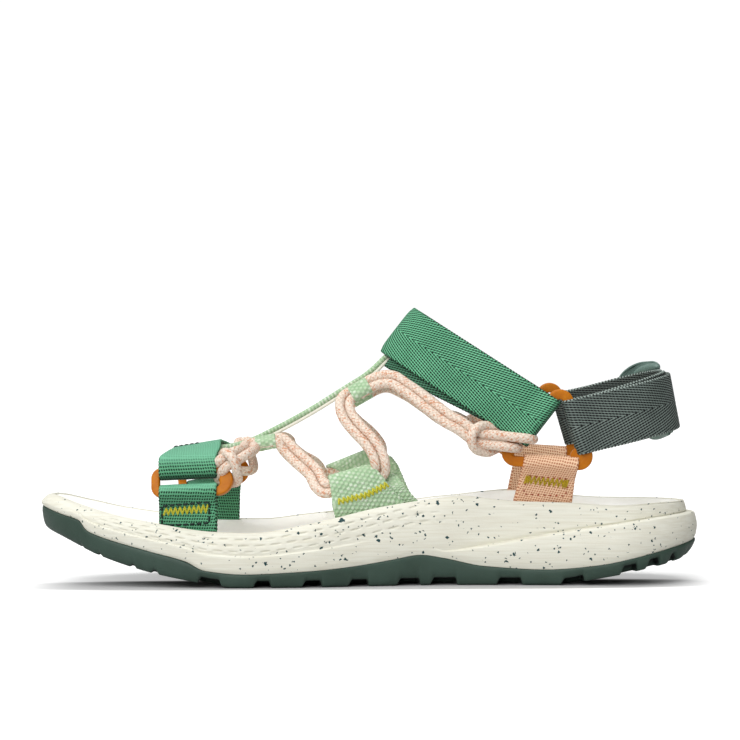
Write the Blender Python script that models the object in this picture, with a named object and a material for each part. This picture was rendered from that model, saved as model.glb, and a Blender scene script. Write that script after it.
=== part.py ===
"""Sport sandal for the right foot, standing on its sole.

Toe towards -X, heel towards +X, medial side at -Y, lateral side at +Y, ground at z = 0.
Sizes and tables are in millimetres. Each mesh is turned into metres as it is made.
"""

import bisect
import math

import bmesh
import bpy
import numpy as np

MM = 0.001

# Driving dimensions
LENGTH = 258.3
GAP = 0.3
TOE_CAP = 57.0
HEEL_CAP = 36.0
RIM_WIDTH = 1.4
RECESS_DEPTH = 4.2
RECESS_DRAFT = 0.2
FOOTBED_BELOW_RIM = 0.7
FOOTBED_DISH = 2.2
STATIONS = 38
SHARP_ANGLE = math.radians(35)

MEDIAL = -1
LATERAL = 1

# Plan of the sole: x, centre line y, half width before the ends are rounded
PLAN = (
    (-129.2, -9.8, 33.0),
    (-108.5, -7.2, 35.7),
    (-90.0, -5.2, 37.6),
    (-64.6, -3.0, 42.3),
    (-46.5, -1.0, 45.2),
    (-25.8, 1.2, 45.0),
    (0.0, 3.5, 41.2),
    (20.7, 4.0, 37.2),
    (38.8, 3.3, 35.0),
    (64.6, 1.3, 33.5),
    (90.4, -0.5, 32.7),
    (108.5, -1.2, 32.1),
    (129.2, -1.7, 31.8),
)

# Underside of the outsole: x, z
TREAD = (
    (-129.2, 22.0),
    (-119.8, 18.6),
    (-103.6, 11.5),
    (-84.8, 5.7),
    (-68.0, 2.3),
    (-57.0, 0.5),
    (-50.0, 0.0),
    (75.0, 0.0),
    (83.0, 1.5),
    (96.0, 3.8),
    (107.0, 6.1),
    (122.0, 9.6),
    (129.2, 14.5),
)

# Seam between outsole and midsole: x, z. The toe bumper steps down behind x = -112.
SEAM = (
    (-129.2, 30.3),
    (-119.8, 27.3),
    (-112.0, 25.0),
    (-109.4, 21.7),
    (-107.0, 20.3),
    (-84.8, 13.9),
    (-70.5, 10.2),
    (-62.6, 6.5),
    (-47.3, 5.2),
    (-22.6, 6.3),
    (-6.5, 7.8),
    (8.4, 10.1),
    (19.5, 11.8),
    (28.0, 10.6),
    (44.0, 7.4),
    (68.0, 6.1),
    (87.0, 7.6),
    (104.4, 11.0),
    (120.0, 14.7),
    (129.2, 16.9),
)

# Top of the midsole's rim: x, medial z, lateral z
RIM = (
    (-129.2, 34.0, 34.0),
    (-126.0, 34.5, 34.5),
    (-112.0, 31.0, 31.0),
    (-98.7, 27.3, 27.4),
    (-80.8, 24.0, 24.4),
    (-59.1, 21.1, 21.9),
    (-44.3, 20.7, 21.6),
    (-27.0, 23.2, 23.4),
    (-13.8, 26.0, 24.9),
    (4.2, 30.1, 27.6),
    (26.9, 33.4, 31.0),
    (35.4, 34.3, 31.9),
    (45.8, 33.2, 33.2),
    (57.5, 32.1, 34.2),
    (76.8, 31.6, 32.4),
    (95.6, 30.6, 31.2),
    (115.5, 31.5, 31.4),
    (129.2, 31.6, 31.6),
)

# Groove along the heel's side wall, between the swelling lower lobe and the upper wall: x, z
GROOVE = (
    (14.0, 12.6),
    (30.4, 13.2),
    (47.6, 15.8),
    (73.0, 20.3),
    (94.0, 23.4),
    (112.0, 26.0),
    (129.2, 27.6),
)

# Plain side wall of the midsole: share of its height, how far it stands out from the plan
WALL = (
    (0.0, -0.9),
    (0.12, -0.2),
    (0.3, 0.0),
    (0.5, -0.4),
    (0.75, -1.3),
    (0.9, -2.3),
    (1.0, -3.9),
)

# Rows of the side wall from seam to rim. In the forefoot a row lies at fore_share of the wall and stands
# out by rib. In the heel a share up to 1 lies in the lower lobe, from 1 to 2 in the wall above the groove.
# Columns: fore_share, rib, heel_share, step
SIDE = (
    (0.0, 0.0, 0.0, 0.0),
    (0.13, 0.0, 0.3, 0.3),
    (0.28, 0.0, 0.64, 0.5),
    (0.42, 0.2, 0.9, 0.3),
    (0.46, -0.7, 1.0, -0.9),
    (0.5, -0.2, 1.07, -2.8),
    (0.56, 0.3, 1.2, -2.6),
    (0.63, -0.5, 1.36, -2.3),
    (0.7, 0.3, 1.52, -2.1),
    (0.77, -0.5, 1.68, -1.9),
    (0.85, 0.3, 1.82, -1.5),
    (0.94, 0.0, 1.94, -1.2),
    (1.0, 0.0, 2.0, -0.8),
)
RIBS_FADE_IN = (-119.0, -104.0)
RIBS_FADE_OUT = (6.0, 24.0)
ROWS_CHANGE = (10.0, 30.0)
GROOVE_FADE_IN = (22.0, 50.0)

# Gaps between the lugs at the sole's edge: front x, back x, depth
LUG_GAPS = (
    (-112.6, -110.2, 1.4),
    (-105.0, -102.4, 1.5),
    (-93.4, -90.6, 1.7),
    (-85.6, -82.6, 1.8),
    (-65.0, -56.2, 2.6),
    (-44.0, -37.2, 2.6),
    (-24.8, -18.3, 2.6),
    (-7.7, -1.5, 2.6),
    (10.8, 17.7, 2.6),
    (24.0, 33.0, 2.8),
    (48.2, 57.8, 2.8),
    (74.0, 82.4, 2.6),
    (96.7, 103.3, 2.4),
    (107.0, 112.5, 2.2),
    (116.0, 119.6, 1.8),
)
LUG_SWEEP = 7.0
LUG_SLANT = 1.4
LUG_GAP_REACH = 60.0
LUG_GAP_BELOW = 6.0


def smoothstep(limits, x):
    """0 before the limits, 1 after them, and an even S between."""
    share = min(max((x - limits[0]) / (limits[1] - limits[0]), 0.0), 1.0)
    return share * share * (3.0 - 2.0 * share)


def mix(a, b, share):
    return a + (b - a) * share


def cubic(a, b, start, end, s):
    """Place at share s of a smooth run from a to b, whose ends leave by start and arrive by end."""
    rise = b - a
    return a + s * start + s * s * (3 * rise - 2 * start - end) + s ** 3 * (start + end - 2 * rise)


def profile(table, column, x):
    """Smooth curve through one column of a table, against its first column, with no overshoot."""
    xs = [row[0] for row in table]
    ys = [row[column] for row in table]
    slopes = [(ys[i + 1] - ys[i]) / (xs[i + 1] - xs[i]) for i in range(len(xs) - 1)]

    def tangent(i):
        if i == 0:
            return slopes[0]
        if i == len(slopes):
            return slopes[-1]
        before, after = slopes[i - 1], slopes[i]
        if before * after <= 0.0:
            return 0.0
        return 2.0 * before * after / (before + after)

    x = min(max(x, xs[0]), xs[-1])
    k = min(bisect.bisect_right(xs, x) - 1, len(xs) - 2)
    span = xs[k + 1] - xs[k]
    return cubic(ys[k], ys[k + 1], tangent(k) * span, tangent(k + 1) * span, (x - xs[k]) / span)


def half_width(x):
    """Half width of the sole, with its elliptical toe and heel."""
    from_toe = x + LENGTH / 2
    from_heel = LENGTH / 2 - x
    toe = max(1.0 - from_toe / TOE_CAP, 0.0)
    heel = max(1.0 - from_heel / HEEL_CAP, 0.0)
    return profile(PLAN, 2, x) * math.sqrt(1.0 - min(toe * toe, 1.0)) * math.sqrt(1.0 - min(heel * heel, 1.0))


def edge(x, side):
    return profile(PLAN, 1, x) + side * half_width(x)


def outline():
    """Points (x, y), outward normals and sides of the plan: medial from toe to heel, then lateral back."""
    step = math.pi / STATIONS
    stations = [-LENGTH / 2 * math.cos(i * step) for i in range(STATIONS + 1)]
    bumper_step = [row[0] for row in SEAM[2:5]]
    stations = sorted(x for x in stations if min(abs(x - b) for b in bumper_step) > 0.9) + bumper_step
    stations.sort()
    points = [(x, edge(x, MEDIAL), MEDIAL) for x in stations]
    points += [(x, edge(x, LATERAL), LATERAL) for x in reversed(stations[1:-1])]
    plan = np.array([(x, y) for x, y, side in points])
    along = np.roll(plan, -1, axis=0) - np.roll(plan, 1, axis=0)
    along /= np.linalg.norm(along, axis=1)[:, None]
    normals = np.stack([along[:, 1], -along[:, 0]], axis=1)
    return plan, normals, [side for x, y, side in points]


PLAN_POINTS, PLAN_NORMALS, PLAN_SIDES = outline()


def ring(out, height):
    """One ring round the sole: out(x) from the plan, height(x, side) above the ground."""
    rows = []
    for (x, y), normal, side in zip(PLAN_POINTS, PLAN_NORMALS, PLAN_SIDES):
        px, py = np.array((x, y)) + normal * out(x)
        rows.append((px, py, height(px, side)))
    return rows


def seam(x, side):
    return profile(SEAM, 1, x)


def tread(x, side):
    return profile(TREAD, 1, x)


def rim(x, side):
    return profile(RIM, 1 if side == MEDIAL else 2, x)


def side_height(row, x, side):
    """Height of a row of the side wall."""
    fore_share, rib, heel_share, step = row
    low, high = seam(x, side), rim(x, side)
    groove = max(profile(GROOVE, 1, x), low + 0.5)
    if heel_share <= 1.0:
        heel = mix(low, groove, heel_share)
    else:
        heel = mix(groove, high, heel_share - 1.0)
    return mix(mix(low, high, fore_share), heel, smoothstep(ROWS_CHANGE, x))


def side_out(row, x):
    """How far a row of the side wall stands out from the plan."""
    fore_share, rib, heel_share, step = row
    low, high = seam(x, MEDIAL), rim(x, MEDIAL)
    share = (side_height(row, x, MEDIAL) - low) / (high - low)
    ribs = smoothstep(RIBS_FADE_IN, x) * (1.0 - smoothstep(RIBS_FADE_OUT, x))
    return profile(WALL, 1, share) + rib * ribs + step * smoothstep(GROOVE_FADE_IN, x)


def rim_inner(x):
    """Inner edge of the rim, measured from the plan."""
    return side_out(SIDE[-1], x) - RIM_WIDTH


def material(name, colour, roughness, metallic=0.0):
    made = bpy.data.materials.new(name)
    made.use_nodes = True
    shader = made.node_tree.nodes["Principled BSDF"]
    shader.inputs["Base Color"].default_value = (*colour, 1.0)
    shader.inputs["Roughness"].default_value = roughness
    shader.inputs["Metallic"].default_value = metallic
    made.diffuse_color = (*colour, 1.0)
    return made


def add(name, points, faces, finish):
    """A mesh object from points in millimetres."""
    mesh = bpy.data.meshes.new(name)
    mesh.from_pydata([tuple(float(c) * MM for c in p) for p in points], [], faces)
    shell = bmesh.new()
    shell.from_mesh(mesh)
    bmesh.ops.recalc_face_normals(shell, faces=shell.faces)
    shell.to_mesh(mesh)
    shell.free()
    made = bpy.data.objects.new(name, mesh)
    bpy.context.scene.collection.objects.link(made)
    mesh.materials.append(finish)
    mesh.shade_smooth()
    mesh.set_sharp_from_angle(angle=SHARP_ANGLE)
    return made


def helper(made):
    """A cutter or a piece that is joined into another one."""
    made.hide_render = True
    made.display_type = "WIRE"
    return made


def boolean(target, other, operation):
    step = target.modifiers.new(f"{operation.lower()}_{other.name}", "BOOLEAN")
    step.object = helper(other)
    step.operation = operation


def loft(rings):
    """Closed skin through rings of the sole, bottom ring first, each end closed by rungs across it."""
    count = len(rings[0])
    points = [p for one in rings for p in one]
    faces = []
    for level in range(len(rings) - 1):
        for i in range(count):
            j = (i + 1) % count
            low, high = level * count, (level + 1) * count
            faces.append((low + i, low + j, high + j, high + i))
    half = count // 2
    top = (len(rings) - 1) * count
    for i in range(half):
        a, b = i, i + 1
        c, d = count - b, (count - a) % count
        rungs = [(a, d, c), (a, c, b)]
        for rung in rungs:
            if len(set(rung)) == 3:
                faces.append(rung)
                faces.append(tuple(top + k for k in reversed(rung)))
    return points, faces


for old in list(bpy.data.objects):
    bpy.data.objects.remove(old, do_unlink=True)

RUBBER = material("outsole_rubber", (0.07, 0.13, 0.11), 0.75)
FOAM = material("midsole_foam", (0.82, 0.79, 0.72), 0.7)
FOOTBED_FOAM = material("footbed_foam", (0.80, 0.77, 0.70), 0.8)

# Outsole: rubber shell from the ground to the seam, cut into lugs.
# Columns: how far a level stands out from the plan, its share of the height from tread to seam
OUTSOLE_LEVELS = (
    (-4.2, 0.0),
    (-1.9, 0.07),
    (-0.9, 0.3),
    (-0.3, 0.75),
    (-0.9, 1.0),
)
outsole_rings = [
    ring(
        lambda x, out=out: out,
        lambda x, side, share=share: mix(tread(x, side), seam(x, side), share),
    )
    for out, share in OUTSOLE_LEVELS
]
outsole = add("outsole", *loft(outsole_rings), RUBBER)


def lug_gap(front, back, depth):
    """Chevron prism that cuts one gap across the tread, deeper ends open at both edges."""
    corners = []
    for side in (MEDIAL, 0, LATERAL):
        sweep = 0.0 if side else -LUG_SWEEP
        y = LUG_GAP_REACH * side
        top = tread((front + back) / 2, side) + depth
        low = min(tread(front, side), tread(back, side)) - LUG_GAP_BELOW
        corners += [
            (front + sweep, y, low),
            (back + sweep, y, low),
            (back + sweep - LUG_SLANT / 2, y, top),
            (front + sweep + LUG_SLANT, y, top),
        ]
    faces = [(0, 1, 2, 3), (11, 10, 9, 8)]
    for a in (0, 4):
        for k in range(4):
            m = (k + 1) % 4
            faces.append((a + k, a + 4 + k, a + 4 + m, a + m))
    return corners, faces


gap_points, gap_faces = [], []
for row in LUG_GAPS:
    points, faces = lug_gap(*row)
    gap_faces += [tuple(k + len(gap_points) for k in face) for face in faces]
    gap_points += points
boolean(outsole, add("lug_gaps", gap_points, gap_faces, RUBBER), "DIFFERENCE")

# Midsole: moulded foam with ribbed forefoot wall, stepped heel wall and a recess for the footbed
midsole_rings = [
    ring(
        lambda x, row=row: side_out(row, x),
        lambda x, side, row=row: side_height(row, x, side) + (GAP if row is SIDE[0] else 0.0),
    )
    for row in SIDE
]
midsole_rings.append(ring(rim_inner, rim))
midsole_rings.append(ring(lambda x: rim_inner(x) - RECESS_DRAFT, lambda x, side: rim(x, side) - RECESS_DEPTH))
midsole = add("midsole", *loft(midsole_rings), FOAM)

# Footbed: lies in the recess, dished along the middle.
# Columns: how far a level stands in from the rim, how far it lies below the rim
FOOTBED_LEVELS = (
    (0.5, RECESS_DEPTH - GAP),
    (0.5, FOOTBED_BELOW_RIM + 0.8),
    (1.3, FOOTBED_BELOW_RIM),
    (5.0, FOOTBED_BELOW_RIM + 0.5 * FOOTBED_DISH),
    (12.0, FOOTBED_BELOW_RIM + FOOTBED_DISH),
)
footbed_rings = [
    ring(lambda x, inset=inset: rim_inner(x) - inset, lambda x, side, drop=drop: rim(x, side) - drop)
    for inset, drop in FOOTBED_LEVELS
]
footbed = add("footbed", *loft(footbed_rings), FOOTBED_FOAM)

# Straps, rings and cords

WEBBING = 1.4
LAYER_GAP = 0.4
BAR_RADIUS = 1.7
CORD_RADIUS = 1.7
CORD_SPREAD = 1.5
LOOP_RADIUS = 1.6
HALF_PAIR = (WEBBING + LAYER_GAP) / 2
EYE_RADIUS = BAR_RADIUS + GAP + WEBBING / 2
EYE_STEPS = 6
EYE_CLOSES_AT = 2.2
FOLD_REACH = 7.0
STRAP_SPACING = 4.0
BAR_SIDES = 7
ROUND_STEPS = 5
SEAT_SPARE = 1.4

UP = np.array((0.0, 0.0, 1.0))


def vector(*parts):
    return np.array(parts, float)


def unit(v):
    return v / np.linalg.norm(v)


def through(rows, spacing):
    """Smooth curve through hand-set points, read about every spacing millimetres."""
    rows = np.array(rows, float)
    knots = np.concatenate([[0.0], np.cumsum(np.linalg.norm(np.diff(rows, axis=0), axis=1))])
    slopes = np.gradient(rows, knots, axis=0)
    made = []
    for at in np.linspace(0.0, knots[-1], int(knots[-1] / spacing) + 2):
        k = min(int(np.searchsorted(knots, at, side="right")) - 1, len(rows) - 2)
        span = knots[k + 1] - knots[k]
        share = (at - knots[k]) / span
        made.append(cubic(rows[k], rows[k + 1], slopes[k] * span, slopes[k + 1] * span, share))
    return np.array(made)


def tangents(path, closed=False):
    if closed:
        run = np.roll(path, -1, axis=0) - np.roll(path, 1, axis=0)
    else:
        run = np.gradient(path, axis=0)
    return run / np.linalg.norm(run, axis=1)[:, None]


def sweep(path, wide, section, closed=False, square=True):
    """Skin of a flat section carried along a path. wide gives the section's first axis at each point.

    A square section is turned to stand at right angles to the path.
    """
    run = tangents(path, closed)
    points, faces = [], []
    for place, forward, across, outline_here in zip(path, run, wide, section):
        if square:
            across = unit(across - forward * np.dot(across, forward))
        normal = unit(np.cross(forward, across))
        points += [place + across * a + normal * n for a, n in outline_here]
    count = len(section[0])
    rings = len(path)
    for i in range(rings if closed else rings - 1):
        a, b = i * count, (i + 1) % rings * count
        for k in range(count):
            m = (k + 1) % count
            faces.append((a + k, a + m, b + m, b + k))
    if not closed:
        faces.append(tuple(range(count)))
        faces.append(tuple(reversed(range((rings - 1) * count, rings * count))))
    return points, faces


def band(path, wide, width, thickness=WEBBING):
    """Webbing: a flat band along a path. width is one size, or one for each point."""
    widths = np.broadcast_to(width, len(path))
    half = thickness / 2
    section = [((w / 2, half), (-w / 2, half), (-w / 2, -half), (w / 2, -half)) for w in widths]
    return sweep(path, wide, section, square=False)


def round_bar(path, radius, sides, wide, closed=False):
    turn = 2 * math.pi / sides
    section = [(radius * math.cos(k * turn), radius * math.sin(k * turn)) for k in range(sides)]
    return sweep(path, [wide] * len(path), [section] * len(path), closed)


def eye(bar, leave, out, tail, reach=0.0, radius=EYE_RADIUS):
    """Path of webbing folded round a bar: up the inner leg, round the bar and out along leave.

    reach stretches the fold along leave, for a bar that is oblong.
    """
    close = EYE_CLOSES_AT * radius
    rows = [(-HALF_PAIR, tail), (-HALF_PAIR, reach + close), (-radius, reach)]
    for k in range(EYE_STEPS + 1):
        angle = math.pi * (1.0 + k / EYE_STEPS)
        rows.append((radius * math.cos(angle), -reach + radius * math.sin(angle)))
    rows += [(radius, reach), (HALF_PAIR, reach + close)]
    if reach == 0.0:
        rows = rows[:2] + rows[3:-2] + rows[-1:]
    return [bar + out * o + leave * d for o, d in rows]


def plan_frame(x, side):
    """Direction along the sole's edge towards the heel, and the inward normal."""
    along = unit(vector(2.0, edge(x + 1.0, side) - edge(x - 1.0, side), 0.0))
    return along, -side * vector(-along[1], along[0], 0.0)


def seat(x, side):
    """Foot of a strap that stands in the recess just inside the rim, just over the recess's floor."""
    along, inward = plan_frame(x, side)
    inset = -rim_inner(x) + HALF_PAIR + WEBBING / 2 + SEAT_SPARE
    place = vector(x, edge(x, side), 0.0) + inward * inset
    place[2] = rim(place[0], side) - RECESS_DEPTH + 3 * GAP
    return place


def rim_direction(x, side):
    along, inward = plan_frame(x, side)
    slope = (rim(x + 5.0, side) - rim(x - 5.0, side)) / 10.0
    return unit(along + UP * slope)


GREEN = material("green_webbing", (0.03, 0.26, 0.13), 0.8)
LIGHT_GREEN = material("light_green_webbing", (0.31, 0.62, 0.35), 0.85)
PEACH = material("peach_webbing", (0.87, 0.52, 0.36), 0.85)
GREY = material("grey_webbing", (0.07, 0.12, 0.11), 0.8)
ORANGE = material("orange_plastic", (0.68, 0.20, 0.015), 0.45)
GREY_PLASTIC = material("grey_plastic", (0.10, 0.15, 0.13), 0.45)
CORD = material("cord", (0.86, 0.70, 0.60), 0.85)

SIDE_NAMES = {MEDIAL: "medial", LATERAL: "lateral"}


def leg_share(place, bar, tail):
    """0 in the fold round the bar, growing to 1 at the foot of the strap."""
    return min(max(float(np.linalg.norm(place - bar)) - FOLD_REACH, 0.0) / (tail - FOLD_REACH), 1.0)


def anchor(name, bar, bar_direction, side, foot_x, width, finish):
    """Webbing folded over a ring's lower bar, both ends standing in the recess."""
    foot = seat(foot_x, side)
    leave = unit(foot - bar)
    out = np.cross(bar_direction, leave)
    out = unit(out if out[1] * side > 0 else -out)
    tail = float(np.linalg.norm(foot - bar))
    path = np.array(eye(bar, leave, out, tail) + [foot + out * HALF_PAIR])
    foot_direction = rim_direction(foot_x, side)
    wide = [mix(bar_direction, foot_direction, leg_share(p, bar, tail)) for p in path]
    return add(name, *band(path, wide, width), finish)


# Toe rings: one at each side, a rounded rectangle whose rear end is a half round
TOE_WIDTH = 21.0
TOE_RING_LENGTH = 28.4
TOE_RING_HEIGHT = 8.3
TOE_RING_FRONT_CORNER = 2.4
TOE_RING_BEFORE_STRAP = 12.7
TOE_RING_LEAN = math.radians(16)
TOE_RING_Z = 40.1
TOE_STRAP_X = {MEDIAL: -70.6, LATERAL: -66.9}
TOE_RING_IN = 0.8


def toe_ring_frame(side):
    """Middle of the ring where its straps cross it, and its rearward, upward and outward directions."""
    x = TOE_STRAP_X[side]
    along, inward = plan_frame(x, side)
    up = unit(UP * math.cos(TOE_RING_LEAN) + inward * math.sin(TOE_RING_LEAN))
    middle = seat(x, side) + inward * TOE_RING_IN
    middle[2] = TOE_RING_Z
    return middle, along, up, unit(-inward * math.cos(TOE_RING_LEAN) + UP * math.sin(TOE_RING_LEAN))


def arc(centre, radius, start, end, steps):
    """Points (a, b) of an arc, angles in degrees."""
    angles = [math.radians(mix(start, end, k / steps)) for k in range(steps + 1)]
    return [(centre[0] + radius * math.cos(t), centre[1] + radius * math.sin(t)) for t in angles]


def round_pair(radius, steps):
    """Outline round two strands that lie side by side."""
    return arc((CORD_SPREAD, 0.0), radius, -90, 90, steps) + arc((-CORD_SPREAD, 0.0), radius, 90, 270, steps)


def toe_ring(side):
    middle, along, up, out = toe_ring_frame(side)
    half = TOE_RING_HEIGHT / 2
    front = -TOE_RING_BEFORE_STRAP
    rear = front + TOE_RING_LENGTH - half
    corner = TOE_RING_FRONT_CORNER
    loop = arc((rear, 0.0), half, -90, 90, 8)
    loop += arc((front + corner, half - corner), corner, 90, 180, 3)
    loop += arc((front + corner, corner - half), corner, 180, 270, 3)
    path = np.array([middle + along * a + up * b for a, b in loop])
    return add(f"toe_ring_{SIDE_NAMES[side]}", *round_bar(path, BAR_RADIUS, BAR_SIDES, out, True), ORANGE)


for side in (MEDIAL, LATERAL):
    toe_ring(side)
    middle, along, up, out = toe_ring_frame(side)
    lower_bar = middle - up * TOE_RING_HEIGHT / 2
    anchor(f"toe_anchor_{SIDE_NAMES[side]}", lower_bar, along, side, TOE_STRAP_X[side], TOE_WIDTH, GREEN)

# Heel rings: three sides, between corner arcs. Columns: x, z of each corner arc's middle
ANKLE_Y = 0.3
ANKLE_HALF = 28.8
LATERAL_LIFT = 3.0
CORNER_ARC = 3.3
RING_TOP = vector(73.4, 0.0, 70.3)
RING_FRONT = vector(56.1, 0.0, 51.1)
RING_REAR = vector(80.7, 0.0, 49.6)
RING_MIDDLE = (RING_TOP + RING_FRONT + RING_REAR) / 3


def lifted(place):
    """The lateral ring, and the straps on it, sit a little higher than the medial one."""
    share = (place[1] - ANKLE_Y + ANKLE_HALF) / (2 * ANKLE_HALF)
    return place + UP * LATERAL_LIFT * share


def at_ankle(place, side):
    return lifted(vector(place[0], ANKLE_Y + side * ANKLE_HALF, place[2]))


def ring_side(start, end):
    """Direction along one side of a heel ring, and its outward normal in the ring's plane."""
    along = unit(end - start)
    outward = vector(along[2], 0.0, -along[0])
    return along, outward if np.dot(outward, start - RING_MIDDLE) > 0 else -outward


def ring_bar(start, end, share_length):
    """Place on the axis of one side of a heel ring, share_length from its start."""
    along, outward = ring_side(start, end)
    return start + along * share_length + outward * CORNER_ARC


def heel_ring(side):
    corners = (RING_TOP, RING_FRONT, RING_REAR)
    loop = []
    for k, corner in enumerate(corners):
        before = ring_side(corners[k - 1], corner)[1]
        after = ring_side(corner, corners[(k + 1) % 3])[1]
        for step in range(ROUND_STEPS + 1):
            loop.append(corner + CORNER_ARC * unit(mix(before, after, step / ROUND_STEPS)))
    path = np.array([at_ankle(place, side) for place in loop])
    outwards = vector(0.0, side, 0.0)
    return add(f"heel_ring_{SIDE_NAMES[side]}", *round_bar(path, BAR_RADIUS, BAR_SIDES, outwards, True), ORANGE)


HEEL_WIDTH = 20.4
HEEL_ANCHOR_FROM_FRONT = 13.8
HEEL_ANCHOR_FOOT_X = 66.0
for side in (MEDIAL, LATERAL):
    heel_ring(side)
    lower = at_ankle(ring_bar(RING_FRONT, RING_REAR, HEEL_ANCHOR_FROM_FRONT), side)
    direction = ring_side(RING_FRONT, RING_REAR)[0]
    name = f"heel_anchor_{SIDE_NAMES[side]}"
    anchor(name, lower, direction, side, HEEL_ANCHOR_FOOT_X, HEEL_WIDTH, PEACH)

# Upper: toe strap, spine, cord sleeves and instep strap, joined where they cross
TOE_TAIL = 6.0
TOE_CROWN = vector(-68.0, -3.0, 53.8)
TOE_CROWN_SLOPE = 0.12
TOE_SHOULDER = 0.72
TOE_SHOULDER_HEIGHT = 0.74


def toe_strap():
    """From ring to ring over the toes, its ends folded round the upper bars."""
    ends = {}
    for side in (MEDIAL, LATERAL):
        middle, along, up, out = toe_ring_frame(side)
        ends[side] = (eye(middle + up * TOE_RING_HEIGHT / 2, up, out, TOE_TAIL), along)
    medial_end, lateral_end = ends[MEDIAL][0], ends[LATERAL][0]
    rows = [medial_end[-1]]
    for side in (MEDIAL, 0, LATERAL):
        if side == 0:
            rows.append(TOE_CROWN)
            continue
        ring_end = ends[side][0][-1]
        shoulder = mix(TOE_CROWN, ring_end, TOE_SHOULDER)
        shoulder[2] = mix(ring_end[2], TOE_CROWN[2], TOE_SHOULDER_HEIGHT)
        rows.append(shoulder)
    rows.append(lateral_end[-1])
    arch = list(through(rows, STRAP_SPACING))
    path = medial_end[:-1] + arch + lateral_end[-2::-1]
    crown_direction = unit(vector(1.0, 0.0, TOE_CROWN_SLOPE))
    wide = [ends[MEDIAL][1]] * (len(medial_end) - 1)
    for k in range(len(arch)):
        share = k / (len(arch) - 1)
        here = mix(ends[MEDIAL][1], ends[LATERAL][1], share)
        wide.append(unit(mix(here, crown_direction, math.sin(math.pi * share))))
    wide += [ends[LATERAL][1]] * (len(lateral_end) - 1)
    return band(np.array(path), wide, TOE_WIDTH)


upper = add("upper", *toe_strap(), GREEN)

# Instep strap and heel strap: each a doubled band from ring to ring, in a tilted plane
INSTEP_WIDTH = 20.6
INSTEP_FROM_TOP = 11.0
INSTEP_CROWN = vector(10.9, 0.0, 97.5)
INSTEP_CROWN_ACROSS = unit(vector(0.61, 0.0, 0.79))
INSTEP_INNER_DROP = 2.6
HEEL_FROM_REAR = 10.8
HEEL_BACK = vector(119.4, 0.0, 70.1)
HEEL_BACK_ACROSS = unit(vector(-0.176, 0.0, 0.984))
HEEL_ROUNDNESS = 2.5
INSTEP_ROUNDNESS = 2.0
INNER_END_GAP = 4.0
FINE_STEPS = 200
DROP_BETWEEN = (0.1, 0.5)
BEHIND_FOLD = 1.5


def half_loop(bar, far, roundness, count):
    """Middle surface of a doubled strap, from the medial bar to its far point: places in x, y, z."""
    made = []
    for k in range(count + 1):
        angle = math.pi / 2 * k / count
        reach = math.sin(angle) ** (2 / roundness)
        spread = math.cos(angle) ** (2 / roundness) if k < count else 0.0
        place = bar + (far - bar) * reach
        made.append(vector(place[0], -ANKLE_HALF * spread, place[2]))
    return np.array(made)


def even(path, spacing):
    """The same path with its points evenly apart."""
    lengths = np.concatenate([[0.0], np.cumsum(np.linalg.norm(np.diff(path, axis=0), axis=1))])
    at = np.linspace(0.0, lengths[-1], int(lengths[-1] / spacing) + 1)
    return np.stack([np.interp(at, lengths, path[:, k]) for k in range(3)], axis=1)


def doubled_strap(bar, bar_direction, far, far_across, roundness, inner_drop, inner_cut):
    """Path and width directions of a strap that runs out and back between the two heel rings.

    The outer layer goes from bar to bar. The inner layer folds round both bars and ends near the far point.
    """
    middle = even(half_loop(bar, far, roundness, FINE_STEPS), STRAP_SPACING)
    run = tangents(middle)
    leave = unit(vector(*(far - bar)) * vector(1.0, 0.0, 1.0))
    leave = unit(leave - bar_direction * np.dot(leave, bar_direction))
    out = vector(0.0, -1.0, 0.0)
    shares = np.linspace(0.0, 1.0, len(middle))
    across = [unit(mix(bar_direction, far_across, s)) for s in shares]
    normals = [unit(np.cross(r, a)) for r, a in zip(run, across)]
    normals = [n if np.dot(n, vector(far[0] - bar[0], 0.0, far[2] - bar[2]) * s + out * (1 - s)) > 0 else -n
               for n, s in zip(normals, shares)]
    start = vector(bar[0], -ANKLE_HALF, bar[2])
    fold = eye(start, leave, out, 0.0)[1:]
    fold_end = EYE_CLOSES_AT * EYE_RADIUS + BEHIND_FOLD
    skip = next(k for k in range(len(middle)) if np.linalg.norm(middle[k] - start) > fold_end)
    outer = [middle[k] + normals[k] * HALF_PAIR for k in range(skip, len(middle))]
    inner = [middle[k] - normals[k] * HALF_PAIR - across[k] * inner_drop * smoothstep(DROP_BETWEEN, shares[k])
             for k in range(skip, len(middle))]
    keep = [k for k in range(len(inner)) if -inner[k][1] > inner_cut]
    inner_wide = [across[skip + k] for k in keep]
    half_path = [inner[k] for k in reversed(keep)] + fold + outer
    half_wide = inner_wide[::-1] + [bar_direction] * len(fold) + across[skip:]
    flip = vector(1.0, -1.0, 1.0)
    path = half_path + [p * flip for p in reversed(half_path[:-1])]
    wide = half_wide + list(reversed(half_wide[:-1]))
    return np.array([lifted(p + vector(0.0, ANKLE_Y, 0.0)) for p in path]), wide


instep_bar = ring_bar(RING_TOP, RING_FRONT, INSTEP_FROM_TOP)
instep_bar_direction = -ring_side(RING_TOP, RING_FRONT)[0]
instep_path, instep_wide = doubled_strap(
    instep_bar, instep_bar_direction, INSTEP_CROWN, INSTEP_CROWN_ACROSS,
    INSTEP_ROUNDNESS, INSTEP_INNER_DROP, INNER_END_GAP,
)
boolean(upper, add("instep_strap", *band(instep_path, instep_wide, INSTEP_WIDTH), GREEN), "UNION")

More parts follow.
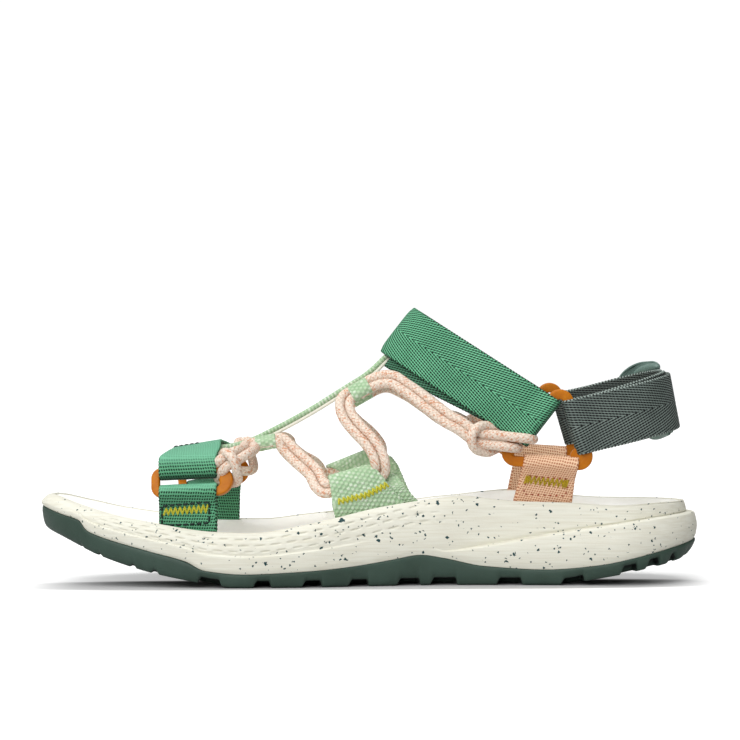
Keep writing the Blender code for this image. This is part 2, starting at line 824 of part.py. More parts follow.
heel_bar = ring_bar(RING_REAR, RING_TOP, HEEL_FROM_REAR)
heel_bar_direction = ring_side(RING_REAR, RING_TOP)[0]
heel_path, heel_wide = doubled_strap(
    heel_bar, heel_bar_direction, HEEL_BACK, HEEL_BACK_ACROSS, HEEL_ROUNDNESS, 0.0, INNER_END_GAP,
)
heel_strap = add("heel_strap", *band(heel_path, heel_wide, HEEL_WIDTH), GREY)

# Spine: lined webbing along the instep, from under the toe strap to under the instep strap: x, y, z
SPINE = (
    (-67.0, -3.0, 52.9),
    (-60.0, -2.8, 52.2),
    (-53.0, -2.5, 52.6),
    (-46.3, -2.3, 54.8),
    (-39.4, -2.1, 58.1),
    (-28.0, -1.8, 64.1),
    (-7.9, -1.0, 76.4),
    (-1.3, -0.6, 80.6),
    (2.3, -0.3, 83.6),
    (5.0, 0.0, 87.2),
    (8.2, 0.3, 91.6),
    (12.8, 0.3, 97.8),
)
SPINE_WIDTH = 16.0
SPINE_THICKNESS = 2.4
spine_path = through(SPINE, 5.0)
spine_wide = [vector(0.0, 1.0, 0.0)] * len(spine_path)
boolean(upper, add("spine", *band(spine_path, spine_wide, SPINE_WIDTH, SPINE_THICKNESS), LIGHT_GREEN), "UNION")

# Cord sleeves, two on each edge of the spine: x, rise along the sleeve
SLEEVES = (
    (-43.0, 0.22),
    (-6.2, 0.58),
)
SLEEVE_LENGTH = 8.0
SLEEVE_WALL = 1.2
SLEEVE_HOLD = 2.35
SLEEVE_HOLD_SIDEWAYS = 0.86
SLEEVE_HOLD_DOWN = 0.5
CREST_TO_AXIS = 14.0
LEAST_RISE = 0.5


def spine_at(x):
    """Middle and downward normal of the spine at x."""
    xs = spine_path[:, 0]
    run = tangents(spine_path)
    middle = vector(x, np.interp(x, xs, spine_path[:, 1]), np.interp(x, xs, spine_path[:, 2]))
    forward = unit(vector(np.interp(x, xs, run[:, 0]), 0.0, np.interp(x, xs, run[:, 2])))
    return middle, vector(forward[2], 0.0, -forward[0])


def on_instep(place, forward):
    """Directions out of the foot, and across a cord that runs forward along it."""
    axis_z = spine_at(min(place[0], SPINE[-1][0]))[0][2] - CREST_TO_AXIS
    rise = max(place[2] - axis_z, LEAST_RISE * abs(place[1]))
    out = vector(0.0, place[1], rise)
    out = unit(out - forward * np.dot(out, forward))
    across = np.cross(forward, out)
    return out, across if across[2] < 0 else -across


def sleeve_frame(x, rise, side):
    """Middle of the cord in a sleeve, its direction, and its directions out of and down the foot."""
    middle, down = spine_at(x)
    forward = unit(vector(1.0, 0.0, rise))
    corner = middle + vector(0.0, side * SPINE_WIDTH / 2, 0.0) + down * SPINE_THICKNESS / 2
    hold = unit(vector(0.0, side * SLEEVE_HOLD_SIDEWAYS, 0.0) + down * SLEEVE_HOLD_DOWN)
    strand = corner + SLEEVE_HOLD * hold
    out, across = on_instep(strand, forward)
    return strand + across * CORD_SPREAD, forward, out, across


def sleeve(x, rise, side):
    middle, forward, out, across = sleeve_frame(x, rise, side)
    radius = CORD_RADIUS + 2 * GAP + SLEEVE_WALL / 2
    loop = round_pair(radius, ROUND_STEPS)
    path = np.array([middle + across * a + out * b for a, b in loop])
    half, wall = SLEEVE_LENGTH / 2, SLEEVE_WALL / 2
    section = [((half, wall), (-half, wall), (-half, -wall), (half, -wall))] * len(path)
    return sweep(path, [forward] * len(path), section, True)


for number, (x, rise) in enumerate(SLEEVES, 1):
    for side in (MEDIAL, LATERAL):
        name = f"sleeve_{number}_{SIDE_NAMES[side]}"
        boolean(upper, add(name, *sleeve(x, rise, side), LIGHT_GREEN), "UNION")

# Mid anchors: wide webbing folded over the cord, its rear leg splayed towards the heel
MID_WIDTH = 17.0
MID_FOOT_WIDTH = 27.0
MID_REAR_FOOT_SHIFT = 4.0
MID_X = {MEDIAL: -4.0, LATERAL: -9.0}
MID_FOOT_SHIFT = 5.0
MID_IN = 3.0
MID_FOLD_TAIL = 9.5
MID_Z = {MEDIAL: 40.0, LATERAL: 42.6}
MID_RISE = {MEDIAL: 0.27, LATERAL: 0.4}
TUNNEL_RADIUS = CORD_RADIUS + 1.5 * GAP + WEBBING / 2


def tunnel(side):
    """Middle and direction of the fold that the cord runs through."""
    along, inward = plan_frame(MID_X[side], side)
    middle = seat(MID_X[side], side) + inward * MID_IN
    middle[2] = MID_Z[side]
    return middle, unit(along + UP * MID_RISE[side])


def mid_anchor(side):
    middle, forward = tunnel(side)
    out, down = on_instep(middle, forward)
    fold = eye(middle, down, out, MID_FOLD_TAIL, CORD_SPREAD, TUNNEL_RADIUS)
    foot_x = MID_X[side] + MID_FOOT_SHIFT
    front_foot = seat(foot_x, side)
    rear_foot = seat(foot_x + MID_REAR_FOOT_SHIFT, side)
    front_normal = plan_frame(foot_x, side)[1]
    rear_normal = plan_frame(foot_x + MID_REAR_FOOT_SHIFT, side)[1]
    path = [rear_foot + rear_normal * HALF_PAIR] + fold[1:] + [front_foot - front_normal * HALF_PAIR]
    path = np.array(path)
    foot_direction = rim_direction(foot_x, side)
    drop = float(np.linalg.norm(front_foot - middle))
    shares = [leg_share(p, middle, drop) for p in path]
    wide = [mix(forward, foot_direction, share) for share in shares]
    widths = [mix(MID_WIDTH, MID_FOOT_WIDTH, share) for share in shares]
    return add(f"mid_anchor_{SIDE_NAMES[side]}", *band(path, wide, widths), LIGHT_GREEN)


for side in (MEDIAL, LATERAL):
    mid_anchor(side)

# Notches in the footbed where the anchors stand. Columns: x of the straps, shift of their feet, width
NOTCH_SPARE = 1.0
NOTCH_INWARD = HALF_PAIR + WEBBING / 2 + 1.4
NOTCH_OUTWARD = 9.0
NOTCH_DOWN = 8.0
NOTCH_UP = 14.0
NOTCHES = (
    (TOE_STRAP_X, 0.0, TOE_WIDTH),
    (MID_X, MID_FOOT_SHIFT + MID_REAR_FOOT_SHIFT / 2, MID_FOOT_WIDTH + MID_REAR_FOOT_SHIFT),
    ({MEDIAL: HEEL_ANCHOR_FOOT_X, LATERAL: HEEL_ANCHOR_FOOT_X}, 0.0, HEEL_WIDTH),
)


def box(middle, directions, lows, highs):
    """Box from lows to highs along three directions."""
    corners = []
    for a in (0, 1):
        for b in (0, 1):
            for c in (0, 1):
                picks = [(lows, highs)[k][i] for i, k in enumerate((a, b, c))]
                corners.append(middle + sum(d * p for d, p in zip(directions, picks)))
    faces = [(0, 1, 3, 2), (4, 6, 7, 5), (0, 4, 5, 1), (2, 3, 7, 6), (0, 2, 6, 4), (1, 5, 7, 3)]
    return corners, faces


notch_points, notch_faces = [], []
for places, shift, width in NOTCHES:
    for side in (MEDIAL, LATERAL):
        x = places[side] + shift
        along, inward = plan_frame(x, side)
        reach = width / 2 + NOTCH_SPARE
        lows = (-reach, -NOTCH_OUTWARD, -NOTCH_DOWN)
        highs = (reach, NOTCH_INWARD, NOTCH_UP)
        points, faces = box(seat(x, side), (along, inward, UP), lows, highs)
        notch_faces += [tuple(k + len(notch_points) for k in face) for face in faces]
        notch_points += points
boolean(footbed, add("strap_notches", notch_points, notch_faces, FOOTBED_FOAM), "DIFFERENCE")

# Heel slider: ladder-lock frame round both layers of the heel strap
SLIDER_X = 109.6
SLIDER_ALONG = (-8.5, -5.1, -1.7, 1.7, 5.1, 8.5)
SLIDER_ACROSS = (-15.4, -10.8, 10.8, 15.4)
SLIDER_DEEP = (-3.9, -2.1, 2.1, 3.9)
OUTER_BARS = (0, 2, 4)
INNER_BARS = (2,)


def slider_frames():
    """Middle surface of the heel strap on its lateral side, with directions across and outward."""
    middle = even(half_loop(heel_bar, HEEL_BACK, HEEL_ROUNDNESS, FINE_STEPS), 1.0)
    run = tangents(middle)
    shares = np.linspace(0.0, 1.0, len(middle))
    start = int(np.argmin(abs(middle[:, 0] - SLIDER_X)))
    frames = []
    for offset in SLIDER_ALONG:
        k = start - int(round(offset))
        across = unit(mix(heel_bar_direction, HEEL_BACK_ACROSS, shares[k]))
        outward = unit(np.cross(across, run[k]))
        outward = outward if outward[1] < 0 else -outward
        flip = vector(1.0, -1.0, 1.0)
        place = lifted(middle[k] * flip + vector(0.0, ANKLE_Y, 0.0))
        frames.append((place, across * flip, outward * flip))
    return frames


def slider_cells():
    """Cells (along, across, deep) that are solid: two rails, the bars outside and the bar inside."""
    filled = {(i, j, k) for i in range(len(SLIDER_ALONG) - 1) for j in (0, 2) for k in range(3)}
    filled |= {(i, 1, 2) for i in OUTER_BARS}
    filled |= {(i, 1, 0) for i in INNER_BARS}
    return filled


def from_cells(filled, place):
    """Closed skin of the filled cells, with place(i, j, k) giving the corner points."""
    sides = (
        ((1, 0, 0), ((1, 0, 0), (1, 1, 0), (1, 1, 1), (1, 0, 1))),
        ((-1, 0, 0), ((0, 0, 0), (0, 0, 1), (0, 1, 1), (0, 1, 0))),
        ((0, 1, 0), ((0, 1, 0), (0, 1, 1), (1, 1, 1), (1, 1, 0))),
        ((0, -1, 0), ((0, 0, 0), (1, 0, 0), (1, 0, 1), (0, 0, 1))),
        ((0, 0, 1), ((0, 0, 1), (1, 0, 1), (1, 1, 1), (0, 1, 1))),
        ((0, 0, -1), ((0, 0, 0), (0, 1, 0), (1, 1, 0), (1, 0, 0))),
    )
    corners, faces = {}, []
    for cell in sorted(filled):
        for step, picks in sides:
            if tuple(np.add(cell, step)) in filled:
                continue
            keys = [tuple(int(c) for c in np.add(cell, pick)) for pick in picks]
            faces.append(tuple(corners.setdefault(key, len(corners)) for key in keys))
    return [place(*key) for key in corners], faces


SLIDER_FRAMES = slider_frames()


def slider_corner(i, j, k):
    middle, across, outward = SLIDER_FRAMES[i]
    return middle + across * SLIDER_ACROSS[j] + outward * SLIDER_DEEP[k]


add("heel_slider", *from_cells(slider_cells(), slider_corner), GREY_PLASTIC)

# Cords: each side's doubled cord, with a loop round a ring at both ends and a collar behind each loop
LOOP_TURN = BAR_RADIUS + GAP + LOOP_RADIUS + 0.1
LOOP_JOIN = 4.7
COLLAR_RADIUS = 1.5
HEEL_LOOP_FROM_TOP = 23.4
TOE_COLLAR_AT = 5.0
TOE_HITCH_TURN = math.radians(42)
HEEL_COLLAR_AT = 11.0
STRAIGHT_IN_SLEEVE = 5.4
STRAIGHT_IN_TUNNEL = 11.0
CORD_SPACING = 3.6
CORD_STEPS = 3
CORD_SIDES = 6
COLLAR_STANDS_OUT = 0.6
HEEL_LEAVE = (0.75, 0.66)

# Free points of the cord's route between its guides: x, distance from the middle, z
ROUTE_TO_SLEEVE = {
    MEDIAL: ((-50.4, 27.6, 49.4), (-50.2, 20.4, 51.4)),
    LATERAL: ((-45.4, 31.0, 48.4), (-48.0, 22.0, 51.0)),
}
ROUTE_TO_ANCHOR = {
    MEDIAL: ((-32.0, 15.6, 52.2), (-27.6, 19.4, 47.4), (-22.8, 23.8, 42.4)),
    LATERAL: ((-31.4, 16.2, 53.8), (-27.4, 22.2, 49.4), (-23.8, 28.0, 44.8)),
}
ROUTE_TO_SECOND_SLEEVE = {
    MEDIAL: ((4.6, 27.0, 46.4), (3.4, 26.0, 51.0), (0.2, 24.2, 55.6), (-4.6, 21.4, 60.2), (-8.6, 18.2, 64.8),
             (-10.4, 15.6, 69.2)),
    LATERAL: ((3.4, 33.4, 49.2), (2.0, 31.6, 53.2), (-1.4, 28.6, 57.2), (-6.0, 24.4, 61.2), (-9.6, 19.8, 65.4),
              (-10.8, 16.2, 69.4)),
}
ROUTE_TO_HEEL = (
    (7.8, 14.4, 79.6),
    (14.4, 18.0, 76.0),
    (24.0, 24.2, 68.6),
    (33.6, 29.0, 62.0),
    (42.0, 32.0, 57.0),
)


def free_points(rows, side):
    return [vector(x, side * away, z) for x, away, z in rows]


def straight(middle, forward, half):
    """Points of the cord where a sleeve or a fold holds it straight."""
    return [middle + forward * half * step for step in (-1.0, -0.5, 0.0, 0.5, 1.0)]


def cord_loop(bar, bar_direction, first):
    """Loop of cord round a ring's bar."""
    second = np.cross(bar_direction, first)
    loop = arc((0.0, 0.0), LOOP_TURN, 0, 324, 9)
    path = np.array([bar + first * a + second * b for a, b in loop])
    return round_bar(path, LOOP_RADIUS, CORD_SIDES, bar_direction, True)


def cord_pair(path):
    """Two strands side by side as one solid."""
    capsule = round_pair(CORD_RADIUS, CORD_STEPS)
    wide = []
    for place, forward in zip(path, tangents(path)):
        across = on_instep(place, forward)[1]
        if wide and np.dot(across, wide[-1]) < 0:
            across = -across
        wide.append(across)
    return sweep(path, wide, [capsule] * len(path))


def collar(path, distance):
    """The loop's bight drawn round both strands, at a distance along the cord from its start."""
    lengths = np.concatenate([[0.0], np.cumsum(np.linalg.norm(np.diff(path, axis=0), axis=1))])
    k = int(np.argmin(abs(lengths - distance)))
    forward = tangents(path)[k]
    out, across = on_instep(path[k], forward)
    loop = round_pair(CORD_RADIUS + COLLAR_STANDS_OUT, ROUND_STEPS)
    ring_path = np.array([path[k] + across * a + out * b for a, b in loop])
    return round_bar(ring_path, COLLAR_RADIUS, CORD_SIDES, forward, True)


def cord(side):
    ring_middle, ring_along, ring_up, ring_out = toe_ring_frame(side)
    round_end = TOE_RING_LENGTH - TOE_RING_BEFORE_STRAP - TOE_RING_HEIGHT / 2
    toe_out = ring_along * math.cos(TOE_HITCH_TURN) + ring_up * math.sin(TOE_HITCH_TURN)
    toe_bar = ring_middle + ring_along * round_end + toe_out * TOE_RING_HEIGHT / 2
    heel_point = at_ankle(ring_bar(RING_TOP, RING_FRONT, HEEL_LOOP_FROM_TOP), side)
    bar_direction, in_plane = ring_side(RING_TOP, RING_FRONT)
    outside = vector(0.0, side, 0.0)
    rows = [toe_bar + LOOP_JOIN * toe_out]
    rows += free_points(ROUTE_TO_SLEEVE[side], side)
    first_sleeve, second_sleeve = [sleeve_frame(x, rise, side)[:2] for x, rise in SLEEVES]
    rows += straight(*first_sleeve, STRAIGHT_IN_SLEEVE)
    rows += free_points(ROUTE_TO_ANCHOR[side], side)
    rows += straight(*tunnel(side), STRAIGHT_IN_TUNNEL)
    rows += free_points(ROUTE_TO_SECOND_SLEEVE[side], side)
    rows += straight(*second_sleeve, STRAIGHT_IN_SLEEVE)
    rows += free_points(ROUTE_TO_HEEL, side)
    rows.append(heel_point + LOOP_JOIN * unit(in_plane * HEEL_LEAVE[0] + outside * HEEL_LEAVE[1]))
    path = through(rows, CORD_SPACING)
    made = add(f"cord_{SIDE_NAMES[side]}", *cord_pair(path), CORD)
    pieces = {
        "toe_loop": cord_loop(toe_bar, np.cross(ring_out, toe_out), toe_out),
        "heel_loop": cord_loop(heel_point, bar_direction, in_plane),
        "toe_collar": collar(path, TOE_COLLAR_AT),
        "heel_collar": collar(path[::-1], HEEL_COLLAR_AT),
    }
    for name, piece in pieces.items():
        boolean(made, add(f"{name}_{SIDE_NAMES[side]}", *piece, CORD), "UNION")
    return made


for side in (MEDIAL, LATERAL):
    cord(side)
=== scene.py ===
"""Looks of the sport sandal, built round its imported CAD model.

Toe towards -X, heel towards +X, medial side at -Y, ground at z = 0. Sizes and tables are in millimetres.
"""

import math

import bmesh
import bpy
import numpy as np
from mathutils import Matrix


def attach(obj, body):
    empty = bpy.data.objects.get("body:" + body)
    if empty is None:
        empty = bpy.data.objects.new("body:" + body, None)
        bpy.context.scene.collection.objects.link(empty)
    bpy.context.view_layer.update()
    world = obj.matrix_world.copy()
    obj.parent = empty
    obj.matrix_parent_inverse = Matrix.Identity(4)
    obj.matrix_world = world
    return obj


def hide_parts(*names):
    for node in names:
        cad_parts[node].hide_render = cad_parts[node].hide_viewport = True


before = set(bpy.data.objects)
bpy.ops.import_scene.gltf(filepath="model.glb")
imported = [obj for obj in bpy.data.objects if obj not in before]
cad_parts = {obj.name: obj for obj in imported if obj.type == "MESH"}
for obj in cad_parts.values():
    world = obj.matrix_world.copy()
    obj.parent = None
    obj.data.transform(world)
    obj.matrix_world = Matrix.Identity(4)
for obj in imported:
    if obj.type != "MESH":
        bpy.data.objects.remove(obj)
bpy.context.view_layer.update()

# Outsole. One moulding of grey-green rubber: a bumper round the toe, and lugs along both edges. The gaps
# between them lean forward and end short of the middle. It is cemented under the midsole along the seam.
MM = 0.001
MEDIAL = -1
LATERAL = 1
SIDES = {MEDIAL: "medial", LATERAL: "lateral"}
LENGTH = 258.3
TOE_CAP = 57.0
HEEL_CAP = 36.0

# Plan of the sole: x, centre line y, half width before the ends are rounded
PLAN = (
    (-129.2, -9.8, 33.0),
    (-108.5, -7.2, 35.7),
    (-90.0, -5.2, 37.6),
    (-64.6, -3.0, 42.3),
    (-46.5, -1.0, 45.2),
    (-25.8, 1.2, 45.0),
    (0.0, 3.5, 41.2),
    (20.7, 4.0, 37.2),
    (38.8, 3.3, 35.0),
    (64.6, 1.3, 33.5),
    (90.4, -0.5, 32.7),
    (108.5, -1.2, 32.1),
    (129.2, -1.7, 31.8),
)

# Underside of the outsole: x, z
TREAD = (
    (-129.2, 22.0),
    (-119.8, 18.6),
    (-103.6, 11.5),
    (-84.8, 5.7),
    (-68.0, 2.3),
    (-57.0, 0.5),
    (-50.0, 0.0),
    (75.0, 0.0),
    (83.0, 1.5),
    (96.0, 3.8),
    (107.0, 6.1),
    (122.0, 9.6),
    (129.2, 14.5),
)

# Seam between outsole and midsole: x, z. The toe bumper steps down behind x = -112.
SEAM = (
    (-129.2, 30.3),
    (-119.8, 27.3),
    (-112.0, 25.0),
    (-109.4, 21.7),
    (-107.0, 20.3),
    (-84.8, 13.9),
    (-70.5, 10.2),
    (-62.6, 6.5),
    (-47.3, 5.2),
    (-22.6, 6.3),
    (-6.5, 7.8),
    (8.4, 10.1),
    (19.5, 11.8),
    (28.0, 10.6),
    (44.0, 7.4),
    (68.0, 6.1),
    (87.0, 7.6),
    (104.4, 11.0),
    (120.0, 14.7),
    (129.2, 16.9),
)

# Gaps between the lugs: front x, back x, depth
LUG_GAPS = (
    (-110.4, -108.4, 0.9),
    (-103.3, -101.0, 1.0),
    (-90.6, -87.8, 1.2),
    (-82.4, -79.2, 1.4),
    (-64.2, -55.1, 2.6),
    (-42.6, -35.6, 2.6),
    (-23.7, -15.6, 2.6),
    (-5.4, 2.7, 2.6),
    (13.8, 23.0, 2.6),
    (26.7, 37.2, 2.8),
    (52.0, 62.0, 2.8),
    (76.7, 85.8, 2.6),
    (99.8, 107.1, 3.2),
    (110.7, 117.0, 3.4),
    (120.6, 123.8, 3.4),
    (125.4, 126.6, 3.6),
)
LUG_SWEEP = 7.0
LUG_SLANT = 1.4
LUG_REACH = 60.0
LUG_EDGE_ROUNDING = (-0.3, -0.15, 0.0, 0.15, 0.3)
CHEVRON_FADES_IN = (-127.0, -115.0)
CHEVRON_FADES_OUT = (120.5, 128.5)

# Shares of the tread's width between which a gap runs out
GAP_RUNS_OUT = (0.03, 0.13)
# Share of the side's height below which the gaps take painted shade
GAP_SHADE_BELOW = 0.04
TREAD_COLUMNS = 24
SWEEP_TURNS = 8
END_RUNGS = 90
RUNG_MARGIN = 0.6
RUNG_STEP = 0.33
LEAST_RUNG = 0.16
TOE_STEP_RUNGS = (-116.0, -103.0, 0.8)

# Side of the outsole: how far a level stands out from the plan, its share of the height from tread to seam
OUTSOLE_LEVELS = (
    (-4.2, 0.0),
    (-2.7, 0.02),
    (-1.9, 0.07),
    (-1.3, 0.17),
    (-0.9, 0.3),
    (-0.55, 0.5),
    (-0.3, 0.75),
    (-0.34, 0.9),
    (-0.5, 0.965),
    (-0.9, 1.0),
    (-4.0, 1.0),
)


def mix(a, b, share):
    return a + (b - a) * share


def smoothstep(limits, x):
    """0 before the limits, 1 after them, and an even S between."""
    share = np.clip((x - limits[0]) / (limits[1] - limits[0]), 0.0, 1.0)
    return share * share * (3.0 - 2.0 * share)


def cubic(a, b, start, end, s):
    """Place at share s of a smooth run from a to b, whose ends leave by start and arrive by end."""
    rise = b - a
    return a + s * start + s * s * (3 * rise - 2 * start - end) + s**3 * (start + end - 2 * rise)


def curve(table, column, x):
    """Smooth curve through one column of a table, against its first column, with no overshoot."""
    xs = np.array([row[0] for row in table], float)
    ys = np.array([row[column] for row in table], float)
    slopes = np.diff(ys) / np.diff(xs)
    before, after = slopes[:-1], slopes[1:]
    same_way = before * after > 0.0
    total = np.where(same_way, before + after, 1.0)
    inner = np.where(same_way, 2.0 * before * after / total, 0.0)
    lean = np.concatenate([slopes[:1], inner, slopes[-1:]])
    x = np.clip(x, xs[0], xs[-1])
    k = np.clip(np.searchsorted(xs, x, side="right") - 1, 0, len(xs) - 2)
    span = xs[k + 1] - xs[k]
    return cubic(ys[k], ys[k + 1], lean[k] * span, lean[k + 1] * span, (x - xs[k]) / span)


def units(rows):
    """Each row brought to length 1."""
    return rows / np.linalg.norm(rows, axis=1)[:, None]


def half_width(x):
    """Half width of the sole, with its elliptical toe and heel."""
    toe = np.clip(1.0 - (x + LENGTH / 2) / TOE_CAP, 0.0, 1.0)
    heel = np.clip(1.0 - (LENGTH / 2 - x) / HEEL_CAP, 0.0, 1.0)
    return curve(PLAN, 2, x) * np.sqrt(1.0 - toe * toe) * np.sqrt(1.0 - heel * heel)


def edge(x, side):
    return curve(PLAN, 1, x) + side * half_width(x)


def seam(x):
    return curve(SEAM, 1, x)


def tread(x):
    return curve(TREAD, 1, x)


def chevron(y, station):
    """How far a rung of the tread runs forward, fading out at toe and heel."""
    fade = smoothstep(CHEVRON_FADES_IN, station) * (1.0 - smoothstep(CHEVRON_FADES_OUT, station))
    return -LUG_SWEEP * (1.0 - np.abs(y) / LUG_REACH) * fade


def outline(stations, swept=False):
    """Points, outward normals and sides of the plan: medial from toe to heel, then lateral back."""
    runs = []
    for side in (MEDIAL, LATERAL):
        x = stations
        for turn in range(SWEEP_TURNS if swept else 0):
            x = stations + chevron(edge(x, side), stations)
        runs.append(np.stack([x, edge(x, side)], axis=1))
    plan = np.concatenate([runs[0], runs[1][-2:0:-1]])
    sides = np.concatenate([np.full(len(stations), MEDIAL), np.full(len(stations) - 2, LATERAL)])
    along = units(np.roll(plan, -1, axis=0) - np.roll(plan, 1, axis=0))
    return plan, np.stack([along[:, 1], -along[:, 0]], axis=1), sides


def ring_grid(first, rings, count):
    """Faces between rings of count points each, the first ring's points starting at first."""
    i = np.arange(count)
    faces = []
    for level in range(rings - 1):
        low, high = first + level * count, first + (level + 1) * count
        j = (i + 1) % count
        faces.append(np.stack([low + i, low + j, high + j, high + i], axis=1))
    return np.concatenate(faces).tolist()


def rung_faces(first, count, inside=None, columns=1):
    """Faces that close a ring by rungs from its medial to its lateral side.

    inside is the number of the first point inside the ring, columns - 1 of them on each rung.
    """
    rungs = np.arange(1, count // 2)
    grid = [first + rungs]
    for column in range(columns - 1):
        grid.append(inside + (rungs - 1) * (columns - 1) + column)
    grid.append(first + count - rungs)
    grid = np.stack(grid, axis=1)
    quads = np.stack([grid[:-1, :-1], grid[:-1, 1:], grid[1:, 1:], grid[1:, :-1]], axis=-1).reshape(-1, 4)
    faces = quads.tolist()
    toe, heel = first, first + count // 2
    for column in range(columns):
        faces.append([toe, int(grid[0, column + 1]), int(grid[0, column])])
        faces.append([heel, int(grid[-1, column]), int(grid[-1, column + 1])])
    return faces


def stand(name, data):
    """A new object in the scene."""
    made = bpy.data.objects.new(name, data)
    bpy.context.scene.collection.objects.link(made)
    return made


def piece(name, skin, look, node, sharp=40.0):
    """A mesh object that rides on the part and stands for a CAD node.

    skin holds its points in millimetres, its faces, and maybe the place on the webbing of each face corner.
    """
    points, faces, *corner_uvs = skin
    mesh = bpy.data.meshes.new(name)
    mesh.from_pydata((np.asarray(points, float) * MM).tolist(), [], faces)
    for uvs in corner_uvs:
        mesh.uv_layers.new(name="webbing").data.foreach_set("uv", np.asarray(uvs, np.float32).ravel())
    shell = bmesh.new()
    shell.from_mesh(mesh)
    bmesh.ops.recalc_face_normals(shell, faces=shell.faces)
    shell.to_mesh(mesh)
    shell.free()
    mesh.shade_smooth()
    mesh.set_sharp_from_angle(angle=math.radians(sharp))
    mesh.materials.append(look)
    made = stand(name, mesh)
    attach(made, "root")
    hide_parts(node)
    return made


def mark(made, name, values):
    """A number at each point of a piece, for its material to read."""
    made.data.attributes.new(name, "FLOAT", "POINT").data.foreach_set("value", values.astype(np.float32))


def paint(red, green, blue):
    """A colour from its sRGB bytes, as the linear values that a shader takes."""
    return (*(((c / 255 + 0.055) / 1.055) ** 2.4 for c in (red, green, blue)), 1.0)


def put(tree, socket, value):
    """Links a socket's value, or sets a constant."""
    if isinstance(value, bpy.types.NodeSocket):
        tree.links.new(value, socket)
    else:
        socket.default_value = value


def calc(tree, operation, *values):
    """Result of a math node."""
    made = tree.nodes.new("ShaderNodeMath")
    made.operation = operation
    for socket, value in zip(made.inputs, values):
        put(tree, socket, value)
    return made.outputs[0]


def tint(tree, share, a, b):
    """Colour between a and b."""
    made = tree.nodes.new("ShaderNodeMix")
    made.data_type = "RGBA"
    for number, value in ((0, share), (6, a), (7, b)):
        put(tree, made.inputs[number], value)
    return made.outputs[2]


def between(tree, value, low, high, start=0.0, end=1.0):
    """Value carried from low..high to start..end, with soft ends."""
    made = tree.nodes.new("ShaderNodeMapRange")
    made.interpolation_type = "SMOOTHSTEP"
    for socket, part in zip(made.inputs, (value, low, high, start, end)):
        put(tree, socket, part)
    return made.outputs[0]


def own_place(tree, stretch=(1.0, 1.0, 1.0)):
    """Place on the part in millimetres, stretched along each axis."""
    place = tree.nodes.new("ShaderNodeTexCoord").outputs["Object"]
    made = tree.nodes.new("ShaderNodeVectorMath")
    made.operation = "MULTIPLY"
    put(tree, made.inputs[0], place)
    made.inputs[1].default_value = [share / MM for share in stretch]
    return made.outputs[0]


def split(tree, value):
    """x, y and z of a vector."""
    made = tree.nodes.new("ShaderNodeSeparateXYZ")
    put(tree, made.inputs[0], value)
    return made.outputs


def marked(tree, name):
    """Number that a piece is marked with."""
    made = tree.nodes.new("ShaderNodeAttribute")
    made.attribute_name = name
    return made.outputs["Fac"]


def noise(tree, place, scale, detail, output="Fac"):
    made = tree.nodes.new("ShaderNodeTexNoise")
    for name, value in (("Vector", place), ("Scale", scale), ("Detail", detail)):
        put(tree, made.inputs[name], value)
    return made.outputs[output]


def new_group(name, inputs, outputs):
    """A shader group with named inputs and outputs: the group, and the sockets inside it."""
    group = bpy.data.node_groups.new(name, "ShaderNodeTree")
    for size, default in inputs:
        socket = group.interface.new_socket(size, in_out="INPUT", socket_type="NodeSocketFloat")
        socket.default_value = default
    for result in outputs:
        group.interface.new_socket(result, in_out="OUTPUT", socket_type="NodeSocketFloat")
    return group, group.nodes.new("NodeGroupInput").outputs, group.nodes.new("NodeGroupOutput").inputs


def use_group(tree, group, sizes):
    """Outputs of a group in a material, with the given sizes as its inputs."""
    made = tree.nodes.new("ShaderNodeGroup")
    made.node_tree = group
    for socket, size in zip(made.inputs, sizes):
        socket.default_value = size
    return made.outputs


def mottle_group():
    """Grain of a surface, or clouds in its colour where the scale is small."""
    group, sizes, result = new_group("mottle", (("Scale", 1.0), ("Detail", 3.0)), ("Mottle",))
    put(group, result["Mottle"], noise(group, own_place(group), sizes["Scale"], sizes["Detail"]))
    return group


MOTTLE = mottle_group()


def mottle(tree, *sizes):
    return use_group(tree, MOTTLE, sizes)["Mottle"]


def finish(name, roughness, specular):
    """A new material with its node tree and shader."""
    made = bpy.data.materials.new(name)
    made.use_nodes = True
    shader = made.node_tree.nodes["Principled BSDF"]
    shader.inputs["Roughness"].default_value = roughness
    shader.inputs["Specular IOR Level"].default_value = specular
    return made, made.node_tree, shader


def relief(tree, shader, height, depth):
    """Bump of the given depth in millimetres."""
    made = tree.nodes.new("ShaderNodeBump")
    made.inputs["Strength"].default_value = 1.0
    made.inputs["Distance"].default_value = depth * MM
    put(tree, made.inputs["Height"], height)
    put(tree, shader.inputs["Normal"], made.outputs[0])


rubber, tree, shader = finish("outsole_rubber", 0.55, 0.4)
clouds = between(tree, mottle(tree, 0.05, 3.0), 0.3, 0.7)
grain = mottle(tree, 2.2, 3.0)
# Painted shade: the rubber in the lug gaps is painted near black, as if in shadow
gap_shade = between(tree, marked(tree, "lug_gap_shade"), 0.3, 0.9)
side_colour = tint(tree, clouds, paint(43, 63, 53), paint(53, 74, 64))
put(tree, shader.inputs["Base Color"], tint(tree, gap_shade, side_colour, paint(10, 15, 13)))
put(tree, shader.inputs["Roughness"], between(tree, grain, 0.3, 0.7, 0.46, 0.62))
relief(tree, shader, grain, 0.05)


